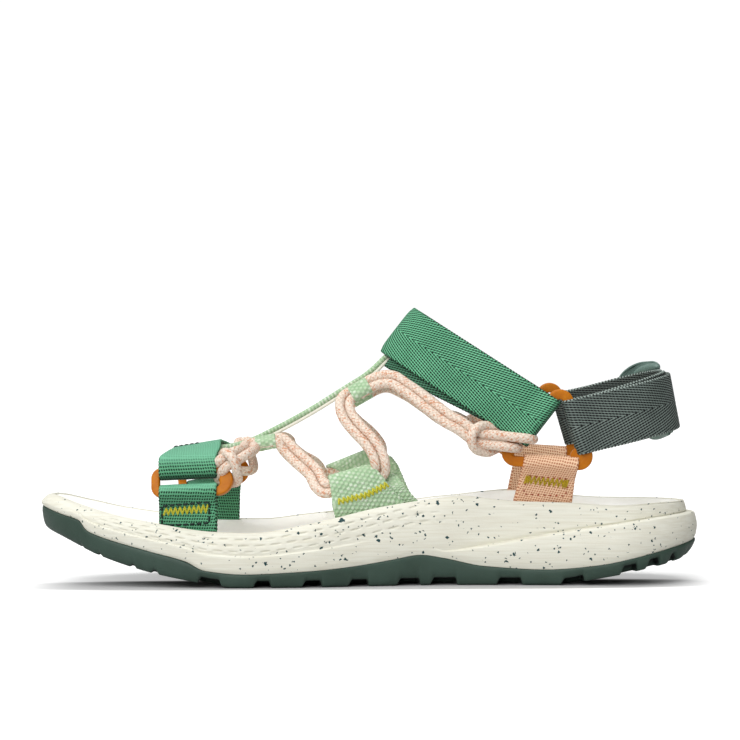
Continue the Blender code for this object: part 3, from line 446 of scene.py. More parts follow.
def lug_stations():
    """Rungs of the tread, close together at the walls of the gaps."""
    rungs = [-LENGTH / 2 * np.cos(np.linspace(0.0, math.pi, END_RUNGS)), np.arange(*TOE_STEP_RUNGS)]
    for front, back, depth in LUG_GAPS:
        for start, end in ((front, front + LUG_SLANT), (back - LUG_SLANT / 2, back)):
            rungs.append(np.arange(start - RUNG_MARGIN, end + RUNG_MARGIN, RUNG_STEP))
    rungs = np.sort(np.concatenate(rungs))
    kept = [rungs[0]]
    for rung in rungs[1:-1]:
        if min(rung - kept[-1], rungs[-1] - rung) > LEAST_RUNG:
            kept.append(rung)
    return np.array(kept + [rungs[-1]])


def lug_depth(station):
    """How far the tread is cut back on a rung, with rounded edges to the gaps."""
    total = np.zeros_like(station)
    for shift in LUG_EDGE_ROUNDING:
        for front, back, depth in LUG_GAPS:
            ahead = (station + shift - front) / LUG_SLANT
            behind = (back - station - shift) / (LUG_SLANT / 2)
            total += depth * np.clip(np.minimum(ahead, behind), 0.0, 1.0)
    return total / len(LUG_EDGE_ROUNDING)


def outsole_mesh():
    stations = lug_stations()
    plan, normals, sides = outline(stations, swept=True)
    cut = lug_depth(stations)
    cut = np.concatenate([cut, cut[-2:0:-1]])
    rings, gaps = [], []
    for out, share in OUTSOLE_LEVELS:
        xy = plan + normals * out
        low = tread(xy[:, 0]) + cut
        rings.append(np.column_stack([xy, mix(low, seam(xy[:, 0]), share)]))
        # Painted shade in the gaps, on the lowest levels of the side
        gaps.append(np.minimum(cut, 1.0) * (share < GAP_SHADE_BELOW))
    points = np.concatenate(rings)
    count = len(plan)
    faces = ring_grid(0, len(rings), count)
    rungs = np.arange(1, count // 2)
    medial, lateral = rings[0][rungs], rings[0][count - rungs]
    inside, webs = [], []
    for column in range(1, TREAD_COLUMNS):
        share = column / TREAD_COLUMNS
        webs.append(1.0 - smoothstep(GAP_RUNS_OUT, min(share, 1.0 - share)))
        y = mix(medial[:, 1], lateral[:, 1], share)
        lags = [ends[:, 0] - chevron(ends[:, 1], stations[rungs]) for ends in (medial, lateral)]
        x = mix(*lags, share) + chevron(y, stations[rungs])
        inside.append(np.column_stack([x, y, tread(x) + cut[rungs] * webs[-1]]))
    inside = np.stack(inside, axis=1).reshape(-1, 3)
    # Painted shade on the tread inside the gaps, fading where they run out
    gaps.append(np.outer(np.minimum(cut[rungs], 1.0), webs).ravel())
    faces += rung_faces(0, count, len(points), TREAD_COLUMNS)
    faces += rung_faces((len(rings) - 1) * count, count)
    return np.concatenate([points, inside]), faces, np.concatenate(gaps)


points, faces, gaps = outsole_mesh()
outsole = piece("outsole_moulding", (points, faces), rubber, "outsole", sharp=50.0)
mark(outsole, "lug_gap_shade", gaps)

# Midsole. One moulding of cream foam with dark specks in it: three rows of short dashes pressed into the
# forefoot's wall, a swelling lobe under a stepped wall at the heel, and a rim that holds the footbed.
GAP = 0.3
RIM_WIDTH = 1.4
RECESS_DEPTH = 4.2
RECESS_DRAFT = 0.2
SEAM_LIFT = 0.09

# Top of the rim: x, medial z, lateral z
RIM = (
    (-129.2, 34.0, 34.0),
    (-126.0, 34.5, 34.5),
    (-112.0, 31.0, 31.0),
    (-98.7, 27.3, 27.4),
    (-80.8, 24.0, 24.4),
    (-59.1, 21.1, 21.9),
    (-44.3, 20.7, 21.6),
    (-27.0, 23.2, 23.4),
    (-13.8, 26.0, 24.9),
    (4.2, 30.1, 27.6),
    (26.9, 33.4, 31.0),
    (35.4, 34.3, 31.9),
    (45.8, 33.2, 33.2),
    (57.5, 32.1, 34.2),
    (76.8, 31.6, 32.4),
    (95.6, 30.6, 31.2),
    (115.5, 31.5, 31.4),
    (129.2, 31.6, 31.6),
)

# Groove along the heel's wall, between the lobe and the wall above it: x, z
GROOVE = (
    (14.0, 12.6),
    (30.4, 13.2),
    (47.6, 15.8),
    (73.0, 20.3),
    (94.0, 23.4),
    (112.0, 26.0),
    (129.2, 27.6),
)

# Plain wall: share of its height, how far it stands out from the plan
WALL = (
    (0.0, -0.9),
    (0.12, -0.2),
    (0.3, 0.0),
    (0.5, -0.4),
    (0.75, -1.3),
    (0.9, -2.3),
    (1.0, -3.9),
)

# Crease along the forefoot's wall: share of its height, how far it stands out
CREASE = (
    (0.0, 0.0),
    (0.13, 0.0),
    (0.28, 0.05),
    (0.42, 0.25),
    (0.46, -0.45),
    (0.5, -0.3),
    (0.56, 0.0),
    (1.0, 0.0),
)

# Rows of the wall from seam to rim: number, share of the forefoot's wall, share of the heel's wall (to 1 in
# the lobe, from 1 to 2 above the groove), step there
SIDE = (
    (0, 0.0, 0.0, 0.0),
    (1, 0.13, 0.3, 0.3),
    (2, 0.28, 0.64, 0.5),
    (3, 0.42, 0.94, 0.35),
    (4, 0.46, 1.0, -0.8),
    (5, 0.5, 1.02, -3.0),
    (6, 0.56, 1.12, -2.5),
    (7, 0.63, 1.36, -2.3),
    (8, 0.7, 1.52, -2.1),
    (9, 0.77, 1.68, -1.9),
    (10, 0.85, 1.82, -1.5),
    (11, 0.94, 1.94, -1.2),
    (12, 1.0, 2.0, -0.8),
)

# Rim and recess: distance in from the rim's outer edge, height above it
RIM_ROUNDING = (
    (0.35, 0.16),
    (0.9, 0.16),
    (RIM_WIDTH, -0.15),
    (RIM_WIDTH + RECESS_DRAFT, -RECESS_DEPTH),
)
WALL_ROWS = 96

# Stations along the sole: from x, to x, step
STATION_RUNS = ((-124.0, 36.0, 0.62), (36.0, 126.0, 1.3))
END_STATIONS = 120
LEAST_STATION = 0.12
CREASE_FADES_IN = (-119.0, -104.0)
CREASE_FADES_OUT = (-22.0, 4.0)
ROWS_CHANGE = (10.0, 30.0)
GROOVE_FADES_IN = (22.0, 50.0)
LEAST_LOBE = 0.5

# Rows of dashes in the forefoot's wall: share of the wall's height, offset along the row
DASH_ROWS = (
    (0.555, 0.0),
    (0.70, 2.1),
    (0.845, 4.0),
)
DASH_LENGTH = 3.9
DASH_PITCH = 6.1
DASH_HALF_HEIGHT = 0.36
DASH_DEPTH = 0.56
DASH_END = 0.7
DASHES_FADE_IN = (-112.0, -98.0)
DASHES_FADE_OUT = (18.0, 34.0)
DASHES_RISE = 0.07
DASHES_RISE_BETWEEN = (-8.0, 26.0)


def rim(x, sides):
    return np.where(np.asarray(sides) == MEDIAL, curve(RIM, 1, x), curve(RIM, 2, x))


def wall_height(row, x, sides):
    """Height of a row of the wall."""
    fore_share, heel_share = curve(SIDE, 1, row), curve(SIDE, 2, row)
    low, high = seam(x), rim(x, sides)
    groove = np.maximum(curve(GROOVE, 1, x), low + LEAST_LOBE)
    lobe = mix(low, groove, min(heel_share, 1.0))
    heel = mix(lobe, high, max(heel_share - 1.0, 0.0))
    return mix(mix(low, high, fore_share), heel, smoothstep(ROWS_CHANGE, x))


def wall_out(row, x):
    """How far a row of the wall stands out from the plan."""
    low, high = seam(x), rim(x, MEDIAL)
    share = (wall_height(row, x, MEDIAL) - low) / (high - low)
    creased = smoothstep(CREASE_FADES_IN, x) * (1.0 - smoothstep(CREASE_FADES_OUT, x))
    step = curve(SIDE, 3, row) * smoothstep(GROOVE_FADES_IN, x)
    return curve(WALL, 1, share) + curve(CREASE, 1, share) * creased + step


def dashes(row, x, sides):
    """Depth of the pressed dashes on a row of the wall."""
    height = rim(x, sides) - seam(x)
    share = (wall_height(row, x, sides) - seam(x)) / height - DASHES_RISE * smoothstep(DASHES_RISE_BETWEEN, x)
    shown = smoothstep(DASHES_FADE_IN, x) * (1.0 - smoothstep(DASHES_FADE_OUT, x))
    total = np.zeros_like(x)
    for middle, offset in DASH_ROWS:
        off_row = (share - middle) * height / DASH_HALF_HEIGHT
        along = np.abs((x + offset) % DASH_PITCH - DASH_PITCH / 2)
        inside = 1.0 - smoothstep((DASH_LENGTH / 2 - DASH_END, DASH_LENGTH / 2), along)
        total += inside * np.exp(-off_row * off_row)
    return DASH_DEPTH * shown * total


def rim_inner(x):
    """Inner edge of the rim, measured from the plan."""
    return wall_out(SIDE[-1][0], x) - RIM_WIDTH


stations = [-LENGTH / 2 * np.cos(np.linspace(0.0, math.pi, END_STATIONS))]
SOLE_STATIONS = np.unique(np.concatenate(stations + [np.arange(*run) for run in STATION_RUNS]))
SOLE_STATIONS = SOLE_STATIONS[np.concatenate([[True], np.diff(SOLE_STATIONS) > LEAST_STATION])]
SOLE_STATIONS[-1] = LENGTH / 2
SOLE_PLAN, SOLE_NORMALS, SOLE_SIDES = outline(SOLE_STATIONS)


def sole_ring(out, height):
    """One ring round the sole: out from the plan, and height(x, sides) above the ground."""
    xy = SOLE_PLAN + SOLE_NORMALS * np.asarray(out)[..., None]
    return np.column_stack([xy, height(xy[:, 0], SOLE_SIDES)])


def midsole_mesh():
    x = SOLE_PLAN[:, 0]
    rings = []
    for row in np.linspace(0.0, SIDE[-1][0], WALL_ROWS):
        out = wall_out(row, x) - dashes(row, x, SOLE_SIDES)
        rings.append(sole_ring(out, lambda px, sides: wall_height(row, px, sides) + SEAM_LIFT * (row == 0.0)))
    top = wall_out(SIDE[-1][0], x)
    for inset, rise in RIM_ROUNDING:
        rings.append(sole_ring(top - inset, lambda px, sides: rim(px, sides) + rise))
    count = len(SOLE_PLAN)
    faces = ring_grid(0, len(rings), count)
    faces += rung_faces(0, count)
    faces += rung_faces((len(rings) - 1) * count, count)
    return np.concatenate(rings), faces


def specks(tree, place, cell, share):
    """Mask of chips of dark foam: a share of all cells of about that size, each an uneven shape."""
    made = tree.nodes.new("ShaderNodeTexVoronoi")
    put(tree, made.inputs["Vector"], place)
    made.inputs["Scale"].default_value = 1.0 / cell
    parts = tree.nodes.new("ShaderNodeSeparateColor")
    put(tree, parts.inputs[0], made.outputs["Color"])
    return calc(tree, "GREATER_THAN", parts.outputs[0], 1.0 - share)


CREAM = paint(226, 225, 212)
WARM_CREAM = paint(217, 214, 198)
SPECK = paint(34, 66, 68)
SPECKS = ((0.6, 0.015), (0.95, 0.007), (1.7, 0.0034))
midsole_foam, tree, shader = finish("midsole_foam", 0.68, 0.35)
place = own_place(tree)
streaks = noise(tree, own_place(tree, (0.06, 0.3, 1.6)), 1.0, 3.0)
pores = mottle(tree, 1.6, 3.0)
foam = tint(tree, between(tree, streaks, 0.3, 0.75), CREAM, WARM_CREAM)
bent = tree.nodes.new("ShaderNodeVectorMath")
put(tree, bent.inputs[0], place)
put(tree, bent.inputs[1], noise(tree, place, 1.1, 2.0, "Color"))
chips = 0.0
for cell, share in SPECKS:
    chips = calc(tree, "MAXIMUM", chips, specks(tree, bent.outputs[0], cell, share))
put(tree, shader.inputs["Base Color"], tint(tree, chips, foam, SPECK))
put(tree, shader.inputs["Roughness"], between(tree, pores, 0.3, 0.7, 0.58, 0.76))
relief(tree, shader, calc(tree, "ADD", streaks, calc(tree, "MULTIPLY", pores, 0.8)), 0.06)
piece("midsole_moulding", midsole_mesh(), midsole_foam, "midsole", sharp=60.0)

# Footbed. A cream foam insole that lies in the midsole's rim, dished under the foot, with a notch at its edge
# for each strap that comes up out of the sole.
FOOTBED_BELOW_RIM = 0.12
FOOTBED_DISH = 2.2

# Columns: how far a level stands in from the rim, how far it lies below the rim
FOOTBED_LEVELS = (
    (0.5, RECESS_DEPTH - GAP),
    (0.45, FOOTBED_BELOW_RIM + 0.9),
    (0.6, FOOTBED_BELOW_RIM + 0.35),
    (0.9, FOOTBED_BELOW_RIM + 0.08),
    (1.4, FOOTBED_BELOW_RIM),
    (3.0, FOOTBED_BELOW_RIM + 0.2 * FOOTBED_DISH),
    (5.0, FOOTBED_BELOW_RIM + 0.5 * FOOTBED_DISH),
    (8.0, FOOTBED_BELOW_RIM + 0.82 * FOOTBED_DISH),
    (12.0, FOOTBED_BELOW_RIM + FOOTBED_DISH),
)
FOOTBED_COLUMNS = 16

# Straps' feet at the edge: x on the medial side, x on the lateral side, width along the edge
STRAP_FEET = (
    (-70.6, -66.9, 21.0),
    (3.0, -2.0, 31.0),
    (66.0, 66.0, 20.4),
)
NOTCH_SPARE = 0.9
NOTCH_DEPTH = 5.2
NOTCH_CORNER = 1.2


def notch(x, sides):
    """1 where a strap's foot stands at the edge, 0 elsewhere."""
    total = np.zeros_like(x)
    for medial_x, lateral_x, width in STRAP_FEET:
        off = np.abs(x - np.where(sides == MEDIAL, medial_x, lateral_x))
        reach = width / 2 + NOTCH_SPARE
        total += 1.0 - smoothstep((reach - NOTCH_CORNER / 2, reach + NOTCH_CORNER / 2), off)
    return total


def footbed_mesh():
    x = SOLE_PLAN[:, 0]
    inner = rim_inner(x)
    deepest = FOOTBED_LEVELS[-1][0]
    rings = []
    for inset, drop in FOOTBED_LEVELS:
        cut = NOTCH_DEPTH * notch(x, SOLE_SIDES) * (1.0 - inset / deepest)
        rings.append(sole_ring(inner - inset - cut, lambda px, sides: rim(px, sides) - drop))
    points = np.concatenate(rings)
    count = len(SOLE_PLAN)
    last = rings[-1]
    rungs = np.arange(1, count // 2)
    shares = np.arange(1, FOOTBED_COLUMNS)[:, None] / FOOTBED_COLUMNS
    inside = mix(last[rungs][:, None], last[count - rungs][:, None], shares).reshape(-1, 3)
    faces = ring_grid(0, len(rings), count)
    faces += rung_faces(0, count)
    faces += rung_faces((len(rings) - 1) * count, count, len(points), FOOTBED_COLUMNS)
    return np.concatenate([points, inside]), faces


footbed_foam, tree, shader = finish("footbed_foam", 0.85, 0.25)
place = own_place(tree)
nap = mottle(tree, 3.0, 4.0)
clouds = mottle(tree, 0.06, 3.0)
cream = tint(tree, between(tree, clouds, 0.35, 0.65), paint(246, 245, 239), paint(238, 236, 227))
put(tree, shader.inputs["Base Color"], cream)
relief(tree, shader, nap, 0.12)

# Painted light: the foam glows a little, most of all in the thin forefoot, to lighten the shade inside the
# rim
shader.inputs["Emission Color"].default_value = (1.0, 1.0, 0.96, 1.0)
put(tree, shader.inputs["Emission Strength"], between(tree, split(tree, place)[0], -10.0, 60.0, 0.22, 0.08))
piece("footbed_insole", footbed_mesh(), footbed_foam, "footbed", sharp=60.0)

# Toe rings. One on each side: a moulded ring of satin orange plastic with flat faces, a rounded rectangle
# whose rear end is a half round. The toe strap folds round its upper bar, the toe anchor round its lower one.
UP = np.array((0.0, 0.0, 1.0))
WEBBING = 1.4
HALF_PAIR = 0.9
SEAT_SPARE = 1.4
TOE_RING_LENGTH = {MEDIAL: 28.4, LATERAL: 26.4}
TOE_RING_HEIGHT = 8.3
TOE_RING_FRONT_CORNER = 2.4
TOE_RING_BEFORE_STRAP = 12.7
TOE_RING_LEAN = math.radians(16)
TOE_RING_Z = 40.1
TOE_RING_IN = 0.8
TOE_RING_TILT = {MEDIAL: 0.05, LATERAL: 0.17}
TOE_RING_PLATE = 1.4
TOE_STRAP_X = {MEDIAL: -70.6, LATERAL: -66.9}
RING_HALF_WIDTH = 1.65
RING_HALF_DEPTH = 1.5
RING_SQUARENESS = 5.0
RING_SIDES = 32
ROUND_END_STEPS = 24
FRONT_CORNER_STEPS = 10
UV_SCALE = 0.01


def vector(*parts):
    return np.array(parts, float)


def unit(v):
    return v / np.linalg.norm(v)


def tangents(path, closed=False):
    run = np.roll(path, -1, axis=0) - np.roll(path, 1, axis=0) if closed else np.gradient(path, axis=0)
    return units(run)


def lengths_along(path):
    return np.concatenate([[0.0], np.cumsum(np.linalg.norm(np.diff(path, axis=0), axis=1))])


def arc(centre, radius, start, end, steps):
    """Points (a, b) of an arc, angles in degrees."""
    turn = np.radians(np.linspace(start, end, steps + 1))
    return [(centre[0] + radius * math.cos(t), centre[1] + radius * math.sin(t)) for t in turn]


def even(path, spacing, *others):
    """The same path, and the rows that go with its points, with the points evenly apart."""
    at = lengths_along(path)
    steps = np.linspace(0.0, at[-1], max(int(at[-1] / spacing), 2) + 1)
    made = []
    for rows in (path, *others):
        rows = np.asarray(rows, float).reshape(len(path), -1)
        made.append(np.stack([np.interp(steps, at, column) for column in rows.T], axis=1))
    return made if others else made[0]


def sweep(path, wide, across, raised, closed=False, square=True, round_uv=None):
    """Skin of a section carried along a path: points, faces, and a place on the webbing for each face corner.

    wide is the section's first direction. across and raised are the section's sizes along it and along the
    normal, one row for all points of the path or one for each. round_uv gives the place round a section that
    isn't flat.
    """
    run = tangents(path, closed)
    wide = np.broadcast_to(wide, path.shape)
    if square:
        wide = wide - run * np.sum(wide * run, axis=1)[:, None]
    wide = units(wide)
    normal = units(np.cross(run, wide))
    rings, count = len(path), np.shape(across)[-1]
    across = np.broadcast_to(across, (rings, count))
    raised = np.broadcast_to(raised, (rings, count))
    points = path[:, None] + wide[:, None] * across[..., None] + normal[:, None] * raised[..., None]
    i = np.arange(rings if closed else rings - 1)[:, None]
    j = (i + 1) % rings
    k = np.arange(count)[None]
    m = (k + 1) % count
    quads = [(i, k), (i, m), (j, m), (j, k)]
    faces = np.stack([a * count + b for a, b in quads], axis=-1).reshape(-1, 4).tolist()
    u = lengths_along(np.concatenate([path, path[:1]]) if closed else path)
    v = np.concatenate([across, across[:, :1]], axis=1)
    if round_uv is not None:
        v = np.broadcast_to(round_uv, (rings, count + 1))
    skew = np.sum(wide * run, axis=1)[:, None]
    shift, v = v * skew, v * np.sqrt(1.0 - skew * skew)
    spots = [(i, i, k), (i, i, k + 1), (i + 1, j, k + 1), (i + 1, j, k)]
    uvs = [np.stack([u[a] + shift[b, c], v[b, c]], axis=-1) for a, b, c in spots]
    uvs = np.stack(uvs, axis=2).reshape(-1, 2)
    if not closed:
        faces.append(list(range(count)))
        faces.append(list(range((rings - 1) * count, rings * count))[::-1])
        ends = [np.stack([u[k] + shift[k, :count], v[k, :count]], axis=1) for k in (0, -1)]
        uvs = np.concatenate([uvs, ends[0], ends[1][::-1]])
    return points.reshape(-1, 3), faces, uvs * UV_SCALE


def joined(meshes):
    """Several skins as one."""
    points, faces, uvs = [], [], []
    start = 0
    for part_points, part_faces, part_uvs in meshes:
        faces += [[start + k for k in face] for face in part_faces]
        points.append(part_points)
        uvs.append(part_uvs)
        start += len(part_points)
    return np.concatenate(points), faces, np.concatenate(uvs)


def circle(radius, sides):
    """Round section: sizes across and raised."""
    turn = np.arange(sides) * 2 * math.pi / sides
    return radius * np.cos(turn), radius * np.sin(turn)


def ring_section(half):
    """Section of a moulded ring, between an ellipse and a rectangle: sizes across and raised."""
    power = 2.0 / RING_SQUARENESS
    across, raised = [np.sign(part) * np.abs(part) ** power for part in circle(1.0, RING_SIDES)]
    return RING_HALF_DEPTH * across, half * raised


def plan_frame(x, side):
    """Direction along the sole's edge towards the heel, and the inward normal."""
    along = unit(vector(2.0, edge(x + 1.0, side) - edge(x - 1.0, side), 0.0))
    return along, -side * vector(-along[1], along[0], 0.0)


def seat(x, side):
    """Foot of a strap that stands in the recess just inside the rim."""
    along, inward = plan_frame(x, side)
    inset = -rim_inner(np.array(x)) + HALF_PAIR + WEBBING / 2 + SEAT_SPARE
    place = vector(x, edge(x, side), 0.0) + inward * inset
    place[2] = rim(place[0], side) - RECESS_DEPTH + 3 * GAP
    return place


def toe_ring_frame(side):
    """Middle of the ring where its straps cross it, and its rearward, upward and outward directions."""
    x = TOE_STRAP_X[side]
    along, inward = plan_frame(x, side)
    up = unit(UP * math.cos(TOE_RING_LEAN) + inward * math.sin(TOE_RING_LEAN))
    middle = seat(x, side) + inward * TOE_RING_IN
    middle[2] = TOE_RING_Z
    out = unit(-inward * math.cos(TOE_RING_LEAN) + UP * math.sin(TOE_RING_LEAN))
    tilt = TOE_RING_TILT[side]
    return middle, unit(along + up * tilt), unit(up - along * tilt), out


def toe_ring(side):
    middle, along, up, out = toe_ring_frame(side)
    half = TOE_RING_HEIGHT / 2
    front = -TOE_RING_BEFORE_STRAP
    rear = front + TOE_RING_LENGTH[side] - half
    corner = TOE_RING_FRONT_CORNER
    loop = arc((rear, 0.0), half, -90, 90, ROUND_END_STEPS)
    loop += arc((front + corner, half - corner), corner, 90, 180, FRONT_CORNER_STEPS)
    loop += arc((front + corner, corner - half), corner, 180, 270, FRONT_CORNER_STEPS)
    path = np.array([middle + along * a + up * b for a, b in loop])
    depth, width = ring_section(RING_HALF_WIDTH)
    into_hole = np.zeros((len(path), 1))
    round_end = np.sin(np.linspace(0.0, math.pi, ROUND_END_STEPS + 1))
    into_hole[: len(round_end), 0] = round_end * TOE_RING_PLATE
    width = np.where(side * width > 0, width * (1.0 + into_hole), width)
    return sweep(path, out, depth, width, True)


orange_plastic, tree, shader = finish("orange_plastic", 0.46, 0.18)
clouds = between(tree, mottle(tree, 0.25, 3.0), 0.3, 0.7)
grain = mottle(tree, 4.0, 2.0)
put(tree, shader.inputs["Base Color"], tint(tree, clouds, paint(178, 100, 10), paint(194, 116, 16)))
put(tree, shader.inputs["Roughness"], between(tree, grain, 0.3, 0.7, 0.36, 0.5))
relief(tree, shader, grain, 0.04)
for side, side_name in SIDES.items():
    node = f"toe_ring_{side_name}"
    piece(f"toe_ring_plastic_{side_name}", toe_ring(side), orange_plastic, node)

# Heel rings. One on each side of the ankle: three-sided rings of the same orange plastic. The instep strap,
# the heel strap and the heel anchor fold round their three sides, and the cord is hitched on the front one.
ANKLE_Y = 0.3
ANKLE_HALF = 28.8
LATERAL_LIFT = 2.2
CORNER_ARC = 3.3
RING_TOP = vector(73.4, 0.0, 70.3)
RING_FRONT = vector(56.1, 0.0, 51.1)
RING_REAR = vector(80.7, 0.0, 49.6)
RING_REAR_SHIFT = {MEDIAL: vector(0.0, 0.0, 0.0), LATERAL: vector(2.4, 0.0, -1.8)}
RING_MIDDLE = (RING_TOP + RING_FRONT + RING_REAR) / 3
CORNER_STEPS = 14
HEEL_RING_HALF_WIDTH = 2.0
CORNER_DISC = 3.4
CORNER_DISC_HALF = 1.41


def lifted(place):
    """The lateral ring, and the straps on it, sit a little higher than the medial one."""
    share = (place[1] - ANKLE_Y + ANKLE_HALF) / (2 * ANKLE_HALF)
    return place + UP * LATERAL_LIFT * share


def at_ankle(place, side):
    return lifted(vector(place[0], ANKLE_Y + side * ANKLE_HALF, place[2]))


def ring_side(start, end):
    """Direction along one side of a heel ring, and its outward normal in the ring's plane."""
    along = unit(end - start)
    outward = vector(along[2], 0.0, -along[0])
    return along, outward if np.dot(outward, start - RING_MIDDLE) > 0 else -outward


def ring_bar(start, end, distance):
    """Place on the axis of one side of a heel ring, at a distance from its start."""
    along, outward = ring_side(start, end)
    return start + along * distance + outward * CORNER_ARC


def heel_ring(side):
    corners = (RING_TOP, RING_FRONT, RING_REAR + RING_REAR_SHIFT[side])
    loop = []
    for k, corner in enumerate(corners):
        before = ring_side(corners[k - 1], corner)[1]
        after = ring_side(corner, corners[(k + 1) % 3])[1]
        for step in range(CORNER_STEPS + 1):
            loop.append(corner + CORNER_ARC * unit(mix(before, after, step / CORNER_STEPS)))
    path = np.array([at_ankle(place, side) for place in loop])
    ring = sweep(path, vector(0.0, side, 0.0), *ring_section(HEEL_RING_HALF_WIDTH), True)
    half_disc = vector(0.0, CORNER_DISC_HALF, 0.0)
    middle = at_ankle(corners[2], side)
    pin = np.array([middle - half_disc, middle + half_disc])
    return joined([ring, sweep(pin, vector(1.0, 0.0, 0.0), *circle(CORNER_DISC, RING_SIDES))])


for side, side_name in SIDES.items():
    node = f"heel_ring_{side_name}"
    piece(f"heel_ring_plastic_{side_name}", heel_ring(side), orange_plastic, node)

# Toe anchors. Green ribbed webbing folded over the lower bar of each toe ring, both ends cemented in the
# sole, sewn through with a dark box stitch and a yellow zigzag.
TOE_WIDTH = 22.4
EYE_RADIUS = 2.7
EYE_STEPS = 18
EYE_CLOSES_AT = 2.2
FOLD_REACH = 7.0
RIM_REACH = 5.0
STRAP_SPACING = 0.45
FACE_STEPS = 14
EDGE_STEPS = 5
SCALLOP = 0.16
SCALLOP_PITCH = 1.35
CUP_POWER = 6

# Seams: height and place across the strap of each corner. Sizes: pitch, length and radius of the stitches, or
# height, pitch and radius of a zigzag and the length of its tacked ends
TOE_BOX = ((31.2, -9.9), (32.8, 8.4), (24.6, 8.4), (23.6, -9.9))
TOE_BOX_SIZES = (2.6, 1.4, 0.46)
TOE_ZIGZAG = ((28.8, -9.2), (30.3, 7.9))
TOE_ZIGZAG_SIZES = (3.4, 1.75, 0.38)


class Strap:
    """Webbing along a path: points evenly apart, with the direction across it, its normal and its width."""

    def __init__(self, path, wide, width, soften=3):
        widths = np.broadcast_to(width, len(path)).astype(float)
        path, wide = np.array(path, float), np.array(wide, float)
        self.path, self.wide, widths = even(path, STRAP_SPACING, wide, widths)
        self.width = widths[:, 0]
        for turn in range(soften):
            for rows in (self.path, self.wide):
                rows[1:-1] = 0.25 * rows[:-2] + 0.5 * rows[1:-1] + 0.25 * rows[2:]
        self.wide = units(self.wide)
        self.normal = units(np.cross(tangents(self.path), self.wide))
        self.at = lengths_along(self.path)

    def spot(self, along, across, lift):
        """Place on the strap: along it, across it, and lifted off its middle surface."""
        parts = []
        for rows in (self.path, self.wide, self.normal):
            parts.append(np.stack([np.interp(along, self.at, column) for column in rows.T], axis=-1))
        return parts[0] + parts[1] * across + parts[2] * lift

    def down_to(self, height, across):
        """Length along the strap's last leg at which it reaches a height."""
        top = int(np.argmax(self.path[:, 2]))
        heights = self.path[top:, 2] + self.wide[top:, 2] * across
        return float(np.interp(-height, -heights, self.at[top:]))


def band():
    """Section of webbing, in shares: its flat faces, the bulge of its rounded edges, and its rise."""
    flat = np.linspace(-1.0, 1.0, FACE_STEPS + 1)
    turn = np.linspace(0.0, math.pi, EDGE_STEPS + 2)[1:-1]
    core = np.concatenate([flat, np.ones(EDGE_STEPS), flat[::-1], -np.ones(EDGE_STEPS)])
    bulge = np.concatenate([0 * flat, np.sin(turn), 0 * flat, -np.sin(turn)])
    return core, bulge, np.concatenate([0 * flat + 1, np.cos(turn), 0 * flat - 1, -np.cos(turn)])


def webbing(strap, thickness=WEBBING, cup=0.0):
    """Skin of a strap with flat faces and rounded, scalloped edges. cup bends its edges off its middle."""
    core, bulge, raised = band()
    edges = thickness / 2 * (1.0 + SCALLOP * np.cos(2 * math.pi * strap.at / SCALLOP_PITCH))
    inner = strap.width / 2 - thickness / 2
    across = core[None] * inner[:, None] + bulge[None] * edges[:, None]
    bent = np.broadcast_to(cup, len(inner))[:, None] * core[None] ** CUP_POWER
    return sweep(strap.path, strap.wide, across, raised[None] * thickness / 2 + bent, square=False)


def eye(bar, leave, out, tail, reach=0.0, radius=EYE_RADIUS):
    """Path of webbing folded round a bar: up the inner leg, round the bar and out along leave.

    reach stretches the fold along leave, for a bar that is oblong.
    """
    close = EYE_CLOSES_AT * radius
    rows = [(-HALF_PAIR, tail), (-HALF_PAIR, reach + close)]
    rows += [] if reach == 0.0 else [(-radius, reach)]
    for k in range(EYE_STEPS + 1):
        angle = math.pi * (1.0 + k / EYE_STEPS)
        rows.append((radius * math.cos(angle), -reach + radius * math.sin(angle)))
    rows += [] if reach == 0.0 else [(radius, reach)]
    rows.append((HALF_PAIR, reach + close))
    return [bar + out * o + leave * d for o, d in rows]


def rim_direction(x, side):
    along, inward = plan_frame(x, side)
    slope = (rim(x + RIM_REACH, side) - rim(x - RIM_REACH, side)) / (2 * RIM_REACH)
    return unit(along + UP * slope)


def leg_share(place, bar, tail):
    """0 in the fold round the bar, growing to 1 at the foot of the strap."""
    return min(max(float(np.linalg.norm(place - bar)) - FOLD_REACH, 0.0) / (tail - FOLD_REACH), 1.0)


def anchor(bar, bar_direction, side, foot_x, width, foot_width):
    """Webbing folded over a ring's lower bar, both ends standing in the recess."""
    foot = seat(foot_x, side)
    leave = unit(foot - bar)
    out = np.cross(bar_direction, leave)
    out = unit(out if out[1] * side > 0 else -out)
    tail = float(np.linalg.norm(foot - bar))
    path = eye(bar, leave, out, tail) + [foot + out * HALF_PAIR]
    foot_direction = rim_direction(foot_x, side)
    shares = [leg_share(p, bar, tail) for p in path]
    wide = [mix(bar_direction, foot_direction, share) for share in shares]
    return Strap(path, wide, [mix(width, foot_width, share) for share in shares])


def wave(tree, value):
    """Even wave from 0 to 1 and back, one for each whole step of a value."""
    turned = calc(tree, "COSINE", calc(tree, "MULTIPLY", value, 2 * math.pi))
    return calc(tree, "MULTIPLY_ADD", turned, -0.5, 0.5)


def weigh(tree, a, by_a, b, by_b):
    """Sum of two values, each times its weight."""
    return calc(tree, "ADD", calc(tree, "MULTIPLY", a, by_a), calc(tree, "MULTIPLY", b, by_b))


def webbing_place(tree):
    """The webbing's map, and the places along and across the webbing in millimetres."""
    uv = tree.nodes.new("ShaderNodeUVMap")
    uv.uv_map = "webbing"
    along, across, _ = split(tree, uv.outputs[0])
    return uv.outputs[0], calc(tree, "DIVIDE", along, UV_SCALE), calc(tree, "DIVIDE", across, UV_SCALE)


